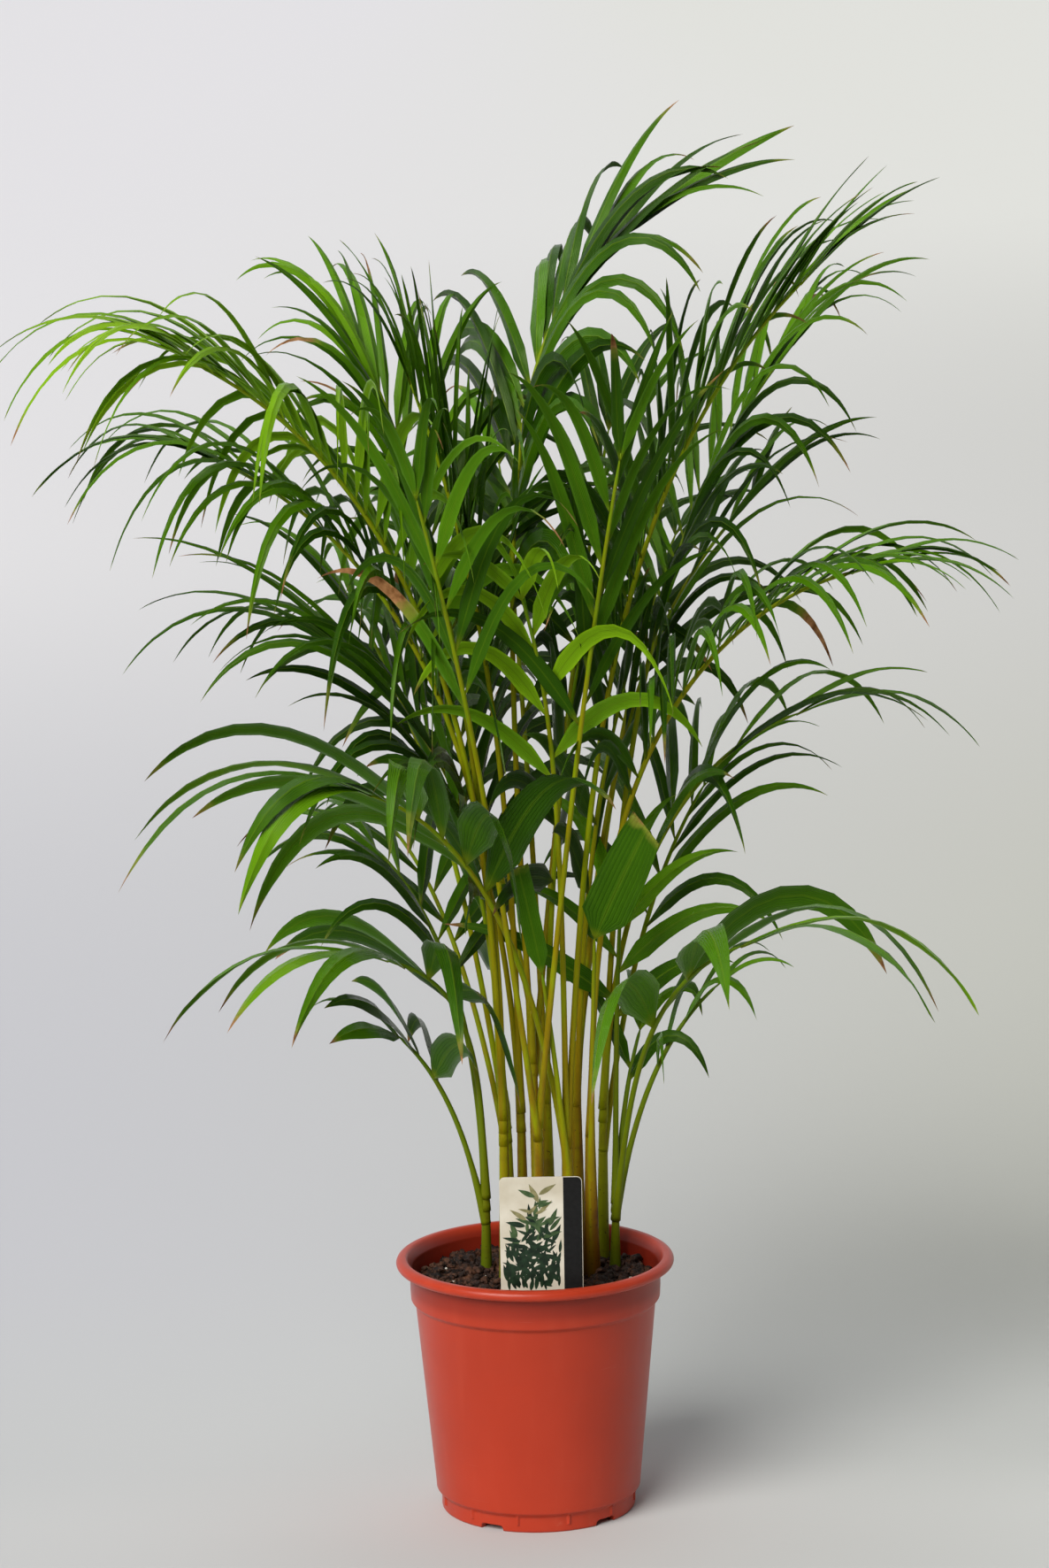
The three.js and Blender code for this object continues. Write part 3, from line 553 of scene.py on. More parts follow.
WAX_TINT = (0.8, 1, 0.45, 1)
LEAF_GREENS = (
    (0.0, (0.006, 0.023, 0.0006)),
    (0.3, (0.023, 0.080, 0.0012)),
    (0.6, (0.088, 0.240, 0.0025)),
    (1.0, (0.270, 0.520, 0.0060)),
)
LEAF_DRIED = ((0.3, (0.16, 0.06, 0.02)), (0.7, (0.48, 0.24, 0.10)))
LEAF_FRINGE = (0.30, 0.30, 0.04)
LEAF_MIDRIB = (0.14, 0.24, 0.008)
LEAF_UNDERSIDE = (0.05, 0.13, 0.010)
LEAF_FOOT = (0.30, 0.34, 0.012)
BROAD_VEINS = 36.0
FINE_VEINS = 70.0


def paint_leaf():
    """Waxy blade: dark to lime by its tone, fine veins along it, a pale midrib, some tips dried brown."""
    p = Paint("leaf")
    across = p.value("across")
    along = p.value("along")
    under = p.value("under")
    patches = p.noise(24)
    veins = p.sine(across, BROAD_VEINS)
    tone = p.total(p.value("tone"), p.scaled(patches, -0.15, 0.15), p.times(veins, 0.03))
    color = p.ramp(tone, LEAF_GREENS)
    midrib = p.rest(p.step(p.math("ABSOLUTE", across), 0.03, 0.13))
    color = p.tinted(color, LEAF_MIDRIB, midrib, most=0.4)
    color = p.tinted(color, LEAF_UNDERSIDE, under, most=0.35)
    color = p.tinted(color, LEAF_FOOT, p.rest(p.step(along, 0.0, 0.1)), most=0.55)
    reached = p.total(along, p.scaled(p.noise(70), -0.08, 0.08), p.value("dry"))
    dried = p.step(reached, 0.98, 1.06)
    color = p.mix(dried, color, p.ramp(p.noise(160), LEAF_DRIED))
    fringe = p.math("SUBTRACT", p.step(reached, 0.93, 1.0), dried)
    color = p.tinted(color, LEAF_FRINGE, fringe, most=0.5)
    roughness = p.total(p.scaled(patches, 0.13, 0.37), p.times(under, 0.25), p.times(dried, 0.3))
    relief = p.total(p.sine(across, FINE_VEINS), p.times(veins, 1.5), p.times(p.noise(90), 3.0))
    gloss = {"Specular_IOR_Level": p.scaled(under, 0.3, 0.05), "Specular_Tint": WAX_TINT}
    return p.finish(color, roughness, relief, depth=0.00022, strength=0.5, **gloss)


STEM_GREENS = (
    (0.0, (0.14, 0.16, 0.0020)),
    (0.35, (0.32, 0.34, 0.0025)),
    (0.7, (0.27, 0.35, 0.0030)),
    (1.0, (0.13, 0.26, 0.004)),
)
STEM_BROWNS = (
    (0.0, (0.13, 0.050, 0.0020)),
    (0.3, (0.23, 0.110, 0.0025)),
    (0.6, (0.32, 0.24, 0.0025)),
    (1.0, (0.19, 0.26, 0.003)),
)
# Painted shade: the deep green that darkens the canes and stalks of the greenest palms.
STEM_PAINTED_SHADE = (0.045, 0.090, 0.004)
STEM_BLOTCHES = (0.11, 0.035, 0.015)
STEM_SPECKS = (0.035, 0.018, 0.008)
STEM_SCARS = (0.08, 0.05, 0.01)


def paint_stem():
    """Cane and stalk: brown-yellow and specked at the foot, yellow-green above, streaked lengthwise, with
    painted shade that darkens the greenest palms, the low ones under the crown.
    """
    p = Paint("stem")
    height = p.value("height")
    brown = p.value("brown")
    grain = p.noise(1.0, 4.0, stretch=(420, 420, 18))
    bands = p.noise(1.0, 3.0, stretch=(130, 130, 5))
    level = p.total(height, p.scaled(grain, -0.1, 0.1))
    banded = p.step(p.total(brown, p.scaled(bands, -1.3, 1.3)), 0.0, 1.0)
    color = p.mix(banded, p.ramp(level, STEM_GREENS), p.ramp(level, STEM_BROWNS))
    # Painted shade: the canes and stalks of the greenest palms, the low ones under the crown, are darkened
    # towards deep green.
    color = p.tinted(color, STEM_PAINTED_SHADE, p.rest(p.step(brown, 0.1, 0.45)), most=0.6)
    low = p.rest(p.step(height, 0.25, 0.6))
    blotches = p.times(p.times(p.step(p.noise(38, 5.0), 0.52, 0.68), low), brown)
    color = p.tinted(color, STEM_BLOTCHES, blotches, most=0.75)
    specks = p.times(p.step(p.noise(420, 2.0), 0.66, 0.72), low)
    color = p.tinted(color, STEM_SPECKS, specks, most=0.8)
    color = p.tinted(color, STEM_SCARS, p.value("ring"), most=0.15)
    relief = p.total(grain, p.times(p.noise(300), 0.4))
    roughness = p.scaled(grain, 0.36, 0.56)
    return p.finish(color, roughness, relief, depth=0.0003, strength=0.4, Specular_IOR_Level=0.1)


POT_REDS = (
    (0.3, (0.42, 0.035, 0.011)),
    (0.5, (0.46, 0.039, 0.013)),
    (0.7, (0.50, 0.045, 0.016)),
)
POT_FLOW_MARKS = (0.62, 0.10, 0.05)
POT_DUST = (0.50, 0.30, 0.22)
POT_SCUFFS = (0.60, 0.22, 0.15)
# Painted shade for the inside of the pot's mouth.
POT_INSIDE_SHADE = (0.17, 0.012, 0.006)


def paint_pot():
    """Moulded plastic: satin terracotta with faint mottling, flow marks and dust near the foot, and painted
    shade inside the mouth.
    """
    p = Paint("pot_plastic")
    height = p.axes()["Z"]
    color = p.ramp(p.noise(9, 4.0), POT_REDS)
    flow = p.step(p.noise(1.0, 3.0, stretch=(60, 60, 7)), 0.5, 0.75)
    color = p.tinted(color, POT_FLOW_MARKS, flow, most=0.12)
    dust = p.times(p.step(p.noise(130, 4.0), 0.6, 0.75), 0.18)
    near_foot = p.rest(p.step(height, 0.0, 0.03))
    color = p.mix(p.times(dust, near_foot), color, POT_DUST)
    scuffs = p.step(p.noise(1.0, 2.0, stretch=(25, 25, 600)), 0.71, 0.76)
    color = p.tinted(color, POT_SCUFFS, scuffs, most=0.12)
    # Painted shade: inside the mouth, above the collar's foot up to the lip, the wall is darkened towards a
    # deep red as if in shadow.
    flat = p.add("ShaderNodeVectorMath", {0: p.place, 1: (1, 1, 0)}, operation="MULTIPLY").outputs["Vector"]
    radius = p.add("ShaderNodeVectorMath", {0: flat}, operation="LENGTH").outputs["Value"]
    within = p.rest(p.step(radius, (MOUTH_RADIUS - 3) * MM, MOUTH_RADIUS * MM))
    above = p.step(height, (COLLAR_BOTTOM + 2) * MM, (COLLAR_BOTTOM + 12) * MM)
    color = p.tinted(color, POT_INSIDE_SHADE, p.times(within, above), most=0.7)
    relief = p.total(p.noise(900, 2.0), p.times(p.noise(45), 4.0))
    roughness = p.scaled(p.noise(30, 4.0), 0.27, 0.43)
    return p.finish(color, roughness, relief, depth=0.00005, strength=0.3, Specular_IOR_Level=0.32)


SOIL_BROWNS = (
    (0.3, (0.005, 0.0025, 0.0015)),
    (0.48, (0.022, 0.009, 0.005)),
    (0.6, (0.075, 0.029, 0.014)),
    (0.8, (0.140, 0.058, 0.028)),
)
SOIL_FIBRE = (0.18, 0.075, 0.03)


def paint_soil():
    """Coarse potting soil: dark and red-brown crumbs, fibres and dust."""
    p = Paint("soil")
    color = p.ramp(p.noise(120, 6.0), SOIL_BROWNS)
    fibres = p.step(p.noise(1.0, 3.0, stretch=(900, 140, 300)), 0.62, 0.7)
    color = p.tinted(color, SOIL_FIBRE, fibres, most=0.5)
    relief = p.total(p.noise(240, 8.0), p.times(p.cells(260), 0.8))
    return p.finish(color, 0.7, relief, depth=0.0020, strength=1.0, Specular_IOR_Level=0.3)


def paint_perlite():
    """Porous white mineral grains."""
    p = Paint("perlite")
    color = p.ramp(p.noise(500, 4.0), ((0.35, (0.40, 0.35, 0.28)), (0.6, (0.72, 0.69, 0.62))))
    return p.finish(color, 0.9, p.cells(1400), depth=0.0003, strength=0.8)


def paint_print(name, dark, light, grain, gloss):
    """Printed plastic card, with the faint unevenness of ink."""
    p = Paint(name)
    color = p.ramp(p.noise(grain, 4.0), ((0.35, dark), (0.65, light)))
    roughness = p.scaled(p.noise(60), gloss, gloss + 0.1)
    return p.finish(color, roughness, p.noise(700), depth=0.00003, strength=0.3, Specular_IOR_Level=0.25)


LEAF = paint_leaf()
STEM = paint_stem()
POT_PLASTIC = paint_pot()
SOIL = paint_soil()
PERLITE = paint_perlite()
CARD = paint_print("card", (0.60, 0.54, 0.42), (0.74, 0.69, 0.58), 40, 0.3)
PRINT_BLACK = paint_print("print_black", (0.003, 0.003, 0.003), (0.006, 0.006, 0.006), 300, 0.6)
PRINT_LEAVES = (
    paint_print("print_deep", (0.006, 0.016, 0.008), (0.016, 0.040, 0.018), 240, 0.35),
    paint_print("print_green", (0.030, 0.062, 0.022), (0.070, 0.120, 0.045), 240, 0.35),
    paint_print("print_pale", (0.16, 0.15, 0.06), (0.30, 0.27, 0.13), 240, 0.35),
)

# ---- pot

FILLET = 1.1
FILLET_STEPS = 4
POT_MERIDIANS = 160
NOTCH_MERIDIANS = (-1.02, -1, -0.96, -0.9, -0.8, 0.8, 0.9, 0.96, 1, 1.02)
RIB_MERIDIANS = (-1.5, -0.9, -0.4, 0, 0.4, 0.9, 1.5)


def filleted(outline):
    """The open outline of [r, z] points with each inner corner rounded."""
    points = [Vector(p) for p in outline]
    rounded = [points[0]]
    for before, corner, after in zip(points, points[1:], points[2:]):
        size = min(FILLET, 0.45 * (corner - before).length, 0.45 * (after - corner).length)
        start = corner + (before - corner).normalized() * size
        end = corner + (after - corner).normalized() * size
        for i in range(FILLET_STEPS + 1):
            t = i / FILLET_STEPS
            rounded.append(start.lerp(corner, t).lerp(corner.lerp(end, t), t))
    return rounded + [points[-1]]


def pot_outline():
    """Half section of the pot, from the middle of its underside, round the lip, to that of its floor."""
    top = POT_HEIGHT
    lip = LIP_HEIGHT
    ring = FOOT_RADIUS - FOOT_RING_WIDTH
    underside = [
        (0, 0),
        (REST_DISC_RADIUS, 0),
        (REST_DISC_RADIUS + 2, FLOOR_UNDERSIDE),
        (ring - 1, FLOOR_UNDERSIDE),
        (ring + 1, 0),
        (FOOT_RADIUS - 0.8, 0),
    ]
    outside = [
        (FOOT_RADIUS, 1.4),
        (FOOT_RADIUS, FOOT_HEIGHT - RIB_HEIGHT),
        (FOOT_RADIUS, FOOT_HEIGHT - RIB_HEIGHT / 2),
        (FOOT_RADIUS, FOOT_HEIGHT),
        (BODY_FOOT_RADIUS, FOOT_HEIGHT + 3.5),
        (BODY_FOOT_RADIUS + 0.35, FOOT_HEIGHT + 9),
        (BODY_TOP_RADIUS, COLLAR_BOTTOM - 3),
        (COLLAR_RADIUS - 0.5, COLLAR_BOTTOM),
        (COLLAR_RADIUS - 0.1, COLLAR_BOTTOM + 8),
        (COLLAR_RADIUS, top - lip),
    ]
    rolled_lip = [
        (RIM_RADIUS - 2.4, top - lip),
        (RIM_RADIUS - 0.5, top - 0.78 * lip),
        (RIM_RADIUS, top - 0.5 * lip),
        (RIM_RADIUS - 1, top - 0.2 * lip),
        (RIM_RADIUS - 3.6, top),
        (MOUTH_RADIUS + 1.5, top),
        (MOUTH_RADIUS, top - 0.15 * lip),
    ]
    inside = [
        (COLLAR_RADIUS - WALL, top - lip),
        (COLLAR_RADIUS - WALL - 0.4, COLLAR_BOTTOM + 1),
        (BODY_TOP_RADIUS - WALL, COLLAR_BOTTOM - 4),
        (BODY_FOOT_RADIUS - WALL, FOOT_HEIGHT + 5),
        (FOOT_RADIUS - WALL, FOOT_HEIGHT + 1.5),
        (FOOT_RADIUS - WALL - 2, FLOOR_TOP),
        (0, FLOOR_TOP),
    ]
    return filleted(underside + outside + rolled_lip + inside)


def half_angle(width):
    """Degrees from the middle to the edge of something this wide on the foot."""
    return math.degrees(width / 2 / FOOT_RADIUS)


def pot_angles():
    """Degrees of the pot's meridians: even ones, and more where notches and ribs begin and end."""
    angles = {round(i * 360 / POT_MERIDIANS, 3) for i in range(POT_MERIDIANS)}
    for first, count, half, shares in (
        (FIRST_NOTCH_ANGLE, NOTCHES, half_angle(NOTCH_WIDTH), NOTCH_MERIDIANS),
        (FIRST_RIB_ANGLE, RIBS, half_angle(RIB_WIDTH), RIB_MERIDIANS),
    ):
        for i in range(count):
            angles |= {round((first + i * 360 / count + half * share) % 360, 3) for share in shares}
    return sorted(angles)


def nearest_turn(angle, first, count):
    """How far the angle is from the nearest of `count` even places, in degrees."""
    pitch = 360 / count
    return abs((angle - first + pitch / 2) % pitch - pitch / 2)


def pot_point(angle, radius, height):
    """A point of the pot's skin with the notches and ribs of its foot; angle 0 is the front."""
    notch = nearest_turn(angle, FIRST_NOTCH_ANGLE, NOTCHES) / half_angle(NOTCH_WIDTH)
    if radius > FOOT_RADIUS - FOOT_RING_WIDTH and notch < 1:
        height = max(height, NOTCH_HEIGHT * (1 - notch ** 8) ** 0.4)
    rib = nearest_turn(angle, FIRST_RIB_ANGLE, RIBS) / half_angle(RIB_WIDTH)
    on_rib = FOOT_HEIGHT - RIB_HEIGHT - 0.5 < height < FOOT_HEIGHT + 0.5
    if on_rib and abs(radius - FOOT_RADIUS) < 1 and rib < 1:
        radius += RIB_DEPTH / 2 * (1 - rib ** 4)
    turn = math.radians(angle)
    return Vector((radius * math.sin(turn), -radius * math.cos(turn), height))


def make_pot():
    skin = Skin()
    outline = pot_outline()
    bottom = skin.point(Vector((0, 0, outline[0].y)))
    top = skin.point(Vector((0, 0, outline[-1].y)))
    columns = [
        [skin.point(pot_point(angle, p.x, p.y)) for p in outline[1:-1]]
        for angle in pot_angles()
    ]
    skin.revolve(bottom, columns, top)
    pot = skin.build("pot_shell", POT_PLASTIC, "pot_plastic")
    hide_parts("pot")


# ---- soil

SOIL_RINGS = 62
SOIL_SIDES = 180
CRUMB_RELIEF = 4.2
CLOD_RELIEF = 0.6
EDGE_SINK = 3


def lump(x, y):
    """Height of the soil's lumpy top over its mean level."""
    return SOIL_LUMP * (
        0.55 * math.sin(0.21 * x + 0.4) * math.cos(0.24 * y)
        + 0.45 * math.sin(0.11 * x - 0.17 * y + 1.1)
        + 0.35 * math.sin(0.37 * y + 0.9) * math.cos(0.31 * x)
    )


def soil_height(x, y):
    """The crumbly surface of the soil."""
    place = Vector((x, y, 0))
    crumbs = noise.fractal(place / 9, 0.9, 2.1, 5, noise_basis="PERLIN_ORIGINAL")
    clods = noise.cell(place / 5) - 0.5
    return SOIL_LEVEL + lump(x, y) + CRUMB_RELIEF * crumbs + CLOD_RELIEF * clods


def make_soil():
    skin = Skin()
    edge = COLLAR_RADIUS - WALL - CLEARANCE - 0.2
    side_wall = (
        (edge, SOIL_LEVEL - 6),
        (COLLAR_RADIUS - WALL - 0.8, COLLAR_BOTTOM + 1),
        (BODY_TOP_RADIUS - WALL - CLEARANCE, COLLAR_BOTTOM - 4),
        (BODY_FOOT_RADIUS - WALL - CLEARANCE, FOOT_HEIGHT + 5),
        (FOOT_RADIUS - WALL - CLEARANCE, FOOT_HEIGHT + 1.5),
        (FOOT_RADIUS - WALL - 2.3, FLOOR_TOP + CLEARANCE),
    )
    middle = skin.point(Vector((0, 0, soil_height(0, 0))))
    bottom = skin.point(Vector((0, 0, FLOOR_TOP + CLEARANCE)))
    columns = []
    for j in range(SOIL_SIDES):
        turn = 2 * math.pi * j / SOIL_SIDES
        column = []
        for i in range(1, SOIL_RINGS + 1):
            x, y = on_circle(edge * i / SOIL_RINGS, turn)
            sunk = EDGE_SINK * soft_step(0.94, 1, i / SOIL_RINGS)
            column.append(skin.point(Vector((x, y, soil_height(x, y) - sunk))))
        column += [skin.point(Vector((*on_circle(radius, turn), z))) for radius, z in side_wall]
        columns.append(column)
    skin.revolve(middle, columns, bottom, downward=True)
    soil = skin.build("soil_bed", SOIL, "soil")
    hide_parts("soil")


def icosphere():
    """Points and faces of a ball of radius 1 with 42 points."""
    golden = (1 + 5 ** 0.5) / 2
    points = [Vector(p).normalized() for p in (
        (-1, golden, 0), (1, golden, 0), (-1, -golden, 0), (1, -golden, 0),
        (0, -1, golden), (0, 1, golden), (0, -1, -golden), (0, 1, -golden),
        (golden, 0, -1), (golden, 0, 1), (-golden, 0, -1), (-golden, 0, 1),
    )]
    faces = [
        (0, 11, 5), (0, 5, 1), (0, 1, 7), (0, 7, 10), (0, 10, 11), (1, 5, 9), (5, 11, 4),
        (11, 10, 2), (10, 7, 6), (7, 1, 8), (3, 9, 4), (3, 4, 2), (3, 2, 6), (3, 6, 8),
        (3, 8, 9), (4, 9, 5), (2, 4, 11), (6, 2, 10), (8, 6, 7), (9, 8, 1),
    ]
    halves = {}

    def half(a, b):
        key = (min(a, b), max(a, b))
        if key not in halves:
            points.append(((points[a] + points[b]) / 2).normalized())
            halves[key] = len(points) - 1
        return halves[key]

    finer = []
    for a, b, c in faces:
        ab, bc, ca = half(a, b), half(b, c), half(c, a)
        finer += [(a, ab, ca), (b, bc, ab), (c, ca, bc), (ab, bc, ca)]
    return points, finer


BALL = icosphere()
GRAIN_STRETCHES = ((0.7, 1.35), (0.6, 1.1), (0.5, 0.9))
GRAIN_TILT = 0.6
DENT_SCALE = 1.7
NOISE_REACH = 99


def add_grain(skin, middle, size, rng, rough):
    """One crumb: a ball that is stretched, turned and dented."""
    points, faces = BALL
    stretch = Vector([rng.uniform(*limits) for limits in GRAIN_STRETCHES])
    turn = Matrix.Rotation(rng.uniform(0, 2 * math.pi), 3, "Z")
    turn = turn @ Matrix.Rotation(either_way(rng, GRAIN_TILT), 3, "X")
    shift = Vector([rng.uniform(0, NOISE_REACH) for _ in range(3)])
    first = len(skin.points)
    for p in points:
        dent = 1 + rough * noise.noise(p * DENT_SCALE + shift)
        skin.point(middle + turn @ (Vector(a * b for a, b in zip(p, stretch)) * (size / 2 * dent)))
    skin.faces += [tuple(first + i for i in face) for face in faces]


def scatter(rng, count, within):
    """Random places on the soil's surface, up to the radius `within`."""
    for _ in range(count):
        radius = within * math.sqrt(rng.random())
        x, y = on_circle(radius, rng.uniform(0, 2 * math.pi))
        yield Vector((x, y, soil_height(x, y)))


CRUMBS = 1300
CRUMBS_WITHIN = 89
SMALLEST_CRUMB = 1.6
CRUMB_GROWTH = 8.5
CRUMB_RARITY = 3.4
CRUMB_LIFT = 0.12
CRUMB_DENTS = 0.7
PERLITE_GRAINS = 24
PERLITE_WITHIN = 88
PERLITE_SIZES = (1.2, 3.2)
PERLITE_LIFT = 0.25
PERLITE_DENTS = 0.5


def make_crumbs():
    """Loose crumbs, most of them small, and a few white grains."""
    rng = random.Random(11)
    crumbs = Skin()
    for place in scatter(rng, CRUMBS, CRUMBS_WITHIN):
        size = SMALLEST_CRUMB + CRUMB_GROWTH * rng.random() ** CRUMB_RARITY
        add_grain(crumbs, place + UP * (CRUMB_LIFT * size), size, rng, CRUMB_DENTS)
    crumbs.build("soil_crumbs", SOIL, "soil")
    white = Skin()
    for place in scatter(rng, PERLITE_GRAINS, PERLITE_WITHIN):
        size = rng.uniform(*PERLITE_SIZES)
        add_grain(white, place + UP * (PERLITE_LIFT * size), size, rng, PERLITE_DENTS)
    white.build("soil_perlite", PERLITE, "soil")


FIBRES = 150
FIBRES_WITHIN = 82
FIBRE_STEPS = 5
FIBRE_SIDES = 4
FIBRE_RADIUS = 0.28
FIBRE_TAPER = 0.7
FIBRE_LENGTHS = (5, 16)
FIBRE_BEND = 0.5
FIBRE_LIFT = 0.9


def make_fibres():
    """Thin root and bark fibres that lie on the soil."""
    rng = random.Random(5)
    skin = Skin()
    for place in scatter(rng, FIBRES, FIBRES_WITHIN):
        heading = rng.uniform(0, 2 * math.pi)
        length = rng.uniform(*FIBRE_LENGTHS)
        rings = []
        x, y = place.x, place.y
        for i in range(FIBRE_STEPS + 1):
            radius = FIBRE_RADIUS * (1 - (2 * i / FIBRE_STEPS - 1) ** 2 * FIBRE_TAPER)
            middle = Vector((x, y, soil_height(x, y) + FIBRE_LIFT))
            side = Vector((-math.sin(heading), math.cos(heading), 0))
            ring = []
            for j in range(FIBRE_SIDES):
                angle = 2 * math.pi / FIBRE_SIDES * j
                offset = side * math.cos(angle) + UP * math.sin(angle)
                ring.append(skin.point(middle + offset * radius))
            rings.append(ring)
            heading += either_way(rng, FIBRE_BEND)
            x += math.cos(heading) * length / FIBRE_STEPS
            y += math.sin(heading) * length / FIBRE_STEPS
        skin.tube(rings)
    skin.build("soil_fibres", SOIL, "soil")


# ---- label

CURVE_STEPS = 8
BAND_LEFT = 16.5
BAND_MARGIN = 0.4
PRINT_RISE = 0.05
EDGE_ROUNDING = 0.18


def arc(middle_x, middle_z, radius, start, end):
    """Points of an arc, by angles in degrees."""
    for i in range(CURVE_STEPS + 1):
        angle = math.radians(lerp(start, end, i / CURVE_STEPS))
        yield middle_x + radius * math.cos(angle), middle_z + radius * math.sin(angle)


def bezier(a, b, c, d):
    """Points of a cubic curve, without its first."""
    for i in range(1, CURVE_STEPS + 1):
        t = i / CURVE_STEPS
        yield tuple(
            (1 - t) ** 3 * p + 3 * t * (1 - t) ** 2 * q + 3 * t * t * (1 - t) * r + t ** 3 * s
            for p, q, r, s in zip(a, b, c, d)
        )


def card_outline():
    """Outline of the card and its stake, counter-clockwise in the front view."""
    half = LABEL_WIDTH / 2
    stake = STAKE_WIDTH / 2
    corner = half - LABEL_CORNER
    top = LABEL_TOP - LABEL_CORNER
    outline = [(half, LABEL_SHOULDER)]
    outline += arc(corner, top, LABEL_CORNER, 0, 90)
    outline += arc(-corner, top, LABEL_CORNER, 90, 180)
    outline.append((-half, LABEL_SHOULDER))
    outline += bezier(
        (-half, LABEL_SHOULDER), (-half, STAKE_TOP + 6), (-stake, STAKE_TOP + 8), (-stake, STAKE_TOP)
    )
    outline += [(-stake, STAKE_TIP + 10), (0, STAKE_TIP), (stake, STAKE_TIP + 10), (stake, STAKE_TOP)]
    outline += list(bezier(
        (stake, STAKE_TOP), (stake, STAKE_TOP + 8), (half, STAKE_TOP + 6), (half, LABEL_SHOULDER)
    ))[:-1]
    return outline


def add_plate(skin, outline, front, back):
    """A flat plate between the planes y = front and y = back, from an outline of (x, z) points."""
    skin.tube([
        [skin.point(Vector((LABEL_X + x, y, z))) for x, z in outline]
        for y in (back, front)
    ])


def make_card(front):
    card = Skin()
    add_plate(card, card_outline(), front, LABEL_Y + LABEL_THICKNESS / 2)
    card = card.build("label_plate", CARD, "label_card", smooth=False)
    edges = card.modifiers.new("edges", "BEVEL")
    edges.width = EDGE_ROUNDING * MM
    edges.segments = 2
    edges.limit_method = "ANGLE"
    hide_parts("label")


def make_band(front):
    """The bare black band along the card's right edge."""
    right = LABEL_WIDTH / 2 - BAND_MARGIN
    corner = LABEL_CORNER - BAND_MARGIN
    top = LABEL_TOP - BAND_MARGIN
    outline = [(BAND_LEFT, LABEL_SHOULDER), (right, LABEL_SHOULDER)]
    outline += arc(right - corner, top - corner, corner, 0, 90)
    outline.append((BAND_LEFT, top))
    band = Skin()
    add_plate(band, outline, front - PRINT_RISE, front + PRINT_RISE)
    band.build("label_band", PRINT_BLACK, "label_card", smooth=False)


# The printed pattern: leaves on a jittered grid, within a rounded crown that is darkest at its foot.
PRINT_ROWS = 17
PRINT_COLUMNS = 14
PRINT_FIRST = (-26, 191)
PRINT_PITCH = (3.1, 4.4)
PRINT_JITTER = (1.4, 1.8)
PRINT_SIZES = (9, 16)
PRINT_BREADTHS = (0.2, 0.3)
PRINT_LEAN = 80
PRINT_LEFT = -29.5
CROWN_MIDDLE = -3
CROWN_HALF_WIDTH = 27
CROWN_FOOT = 204
CROWN_HEIGHT = 58
CROWN_SCATTER = 9
DEEP_BELOW = 232
GREEN_BELOW = 250
DEPTH_SCATTER = 16
OVERLAY = 0.0008


def leaf_outline(x, z, length, width, lean):
    """A pointed oval leaf that starts at (x, z) and leans by `lean` degrees from upright."""
    lean = math.radians(lean)
    along = Vector((math.sin(lean), math.cos(lean)))
    across = Vector((along.y, -along.x))
    shares = [i / 9 for i in range(10)]
    half = [width / 2 * math.sin(math.pi * t ** 0.75) for t in shares]
    right = [Vector((x, z)) + along * length * t + across * h for t, h in zip(shares, half)]
    left = [Vector((x, z)) + along * length * t - across * h for t, h in zip(shares, half)]
    return [(p.x, p.y) for p in (left[::-1] + right[1:-1])]


def make_print(front):
    rng = random.Random(23)
    layers = [Skin(), Skin(), Skin()]
    rise = PRINT_RISE
    for row in range(PRINT_ROWS):
        for column in range(PRINT_COLUMNS):
            x = PRINT_FIRST[0] + PRINT_PITCH[0] * column + either_way(rng, PRINT_JITTER[0])
            z = PRINT_FIRST[1] + PRINT_PITCH[1] * row + either_way(rng, PRINT_JITTER[1])
            crown = 1 - abs(x - CROWN_MIDDLE) / CROWN_HALF_WIDTH
            if z > CROWN_FOOT + CROWN_HEIGHT * crown + either_way(rng, CROWN_SCATTER):
                continue
            size = rng.uniform(*PRINT_SIZES)
            lean = either_way(rng, PRINT_LEAN)
            outline = leaf_outline(x, z, size, size * rng.uniform(*PRINT_BREADTHS), lean)
            xs = [point[0] for point in outline]
            if max(xs) > BAND_LEFT - 1 or min(xs) < PRINT_LEFT:
                continue
            rise += OVERLAY
            depth = z + either_way(rng, DEPTH_SCATTER)
            layer = 0 if depth < DEEP_BELOW else 1 if depth < GREEN_BELOW else 2
            add_plate(layers[layer], outline, front - rise, front + PRINT_RISE)
    for name, skin, paint in zip(("deep", "green", "pale"), layers, PRINT_LEAVES):
        skin.build(f"label_leaves_{name}", paint, "label_card", smooth=False)


def make_label():
    front = LABEL_Y - LABEL_THICKNESS / 2
    make_card(front)
    make_band(front)
    make_print(front)


# ---- lines of canes, stalks and leaflets


def cane_point(palm, z):
    """A point of the cane's axis above the soil at the height z."""
    bottom = Vector((*palm.root, SOIL_LEVEL))
    top = Vector(palm.top)
    return bottom.lerp(top, (z - SOIL_LEVEL) / (top.z - SOIL_LEVEL))


def stalk_direction(frond, t):
    """The direction of a frond's stalk at the share t of its length."""
    tilt = math.radians(frond.lean + frond.arch * t ** frond.curl)
    compass = math.radians(frond.heading + frond.turn * t ** TURN_POWER)
    return Vector((
        math.sin(tilt) * math.cos(compass),
        math.sin(tilt) * math.sin(compass),
        math.cos(tilt),
    ))


def on_row(row, share):
    """A point on a row of points, by the share of its steps."""
    place = share * (len(row) - 1)
    i = min(int(place), len(row) - 2)
    return row[i].lerp(row[i + 1], place - i)


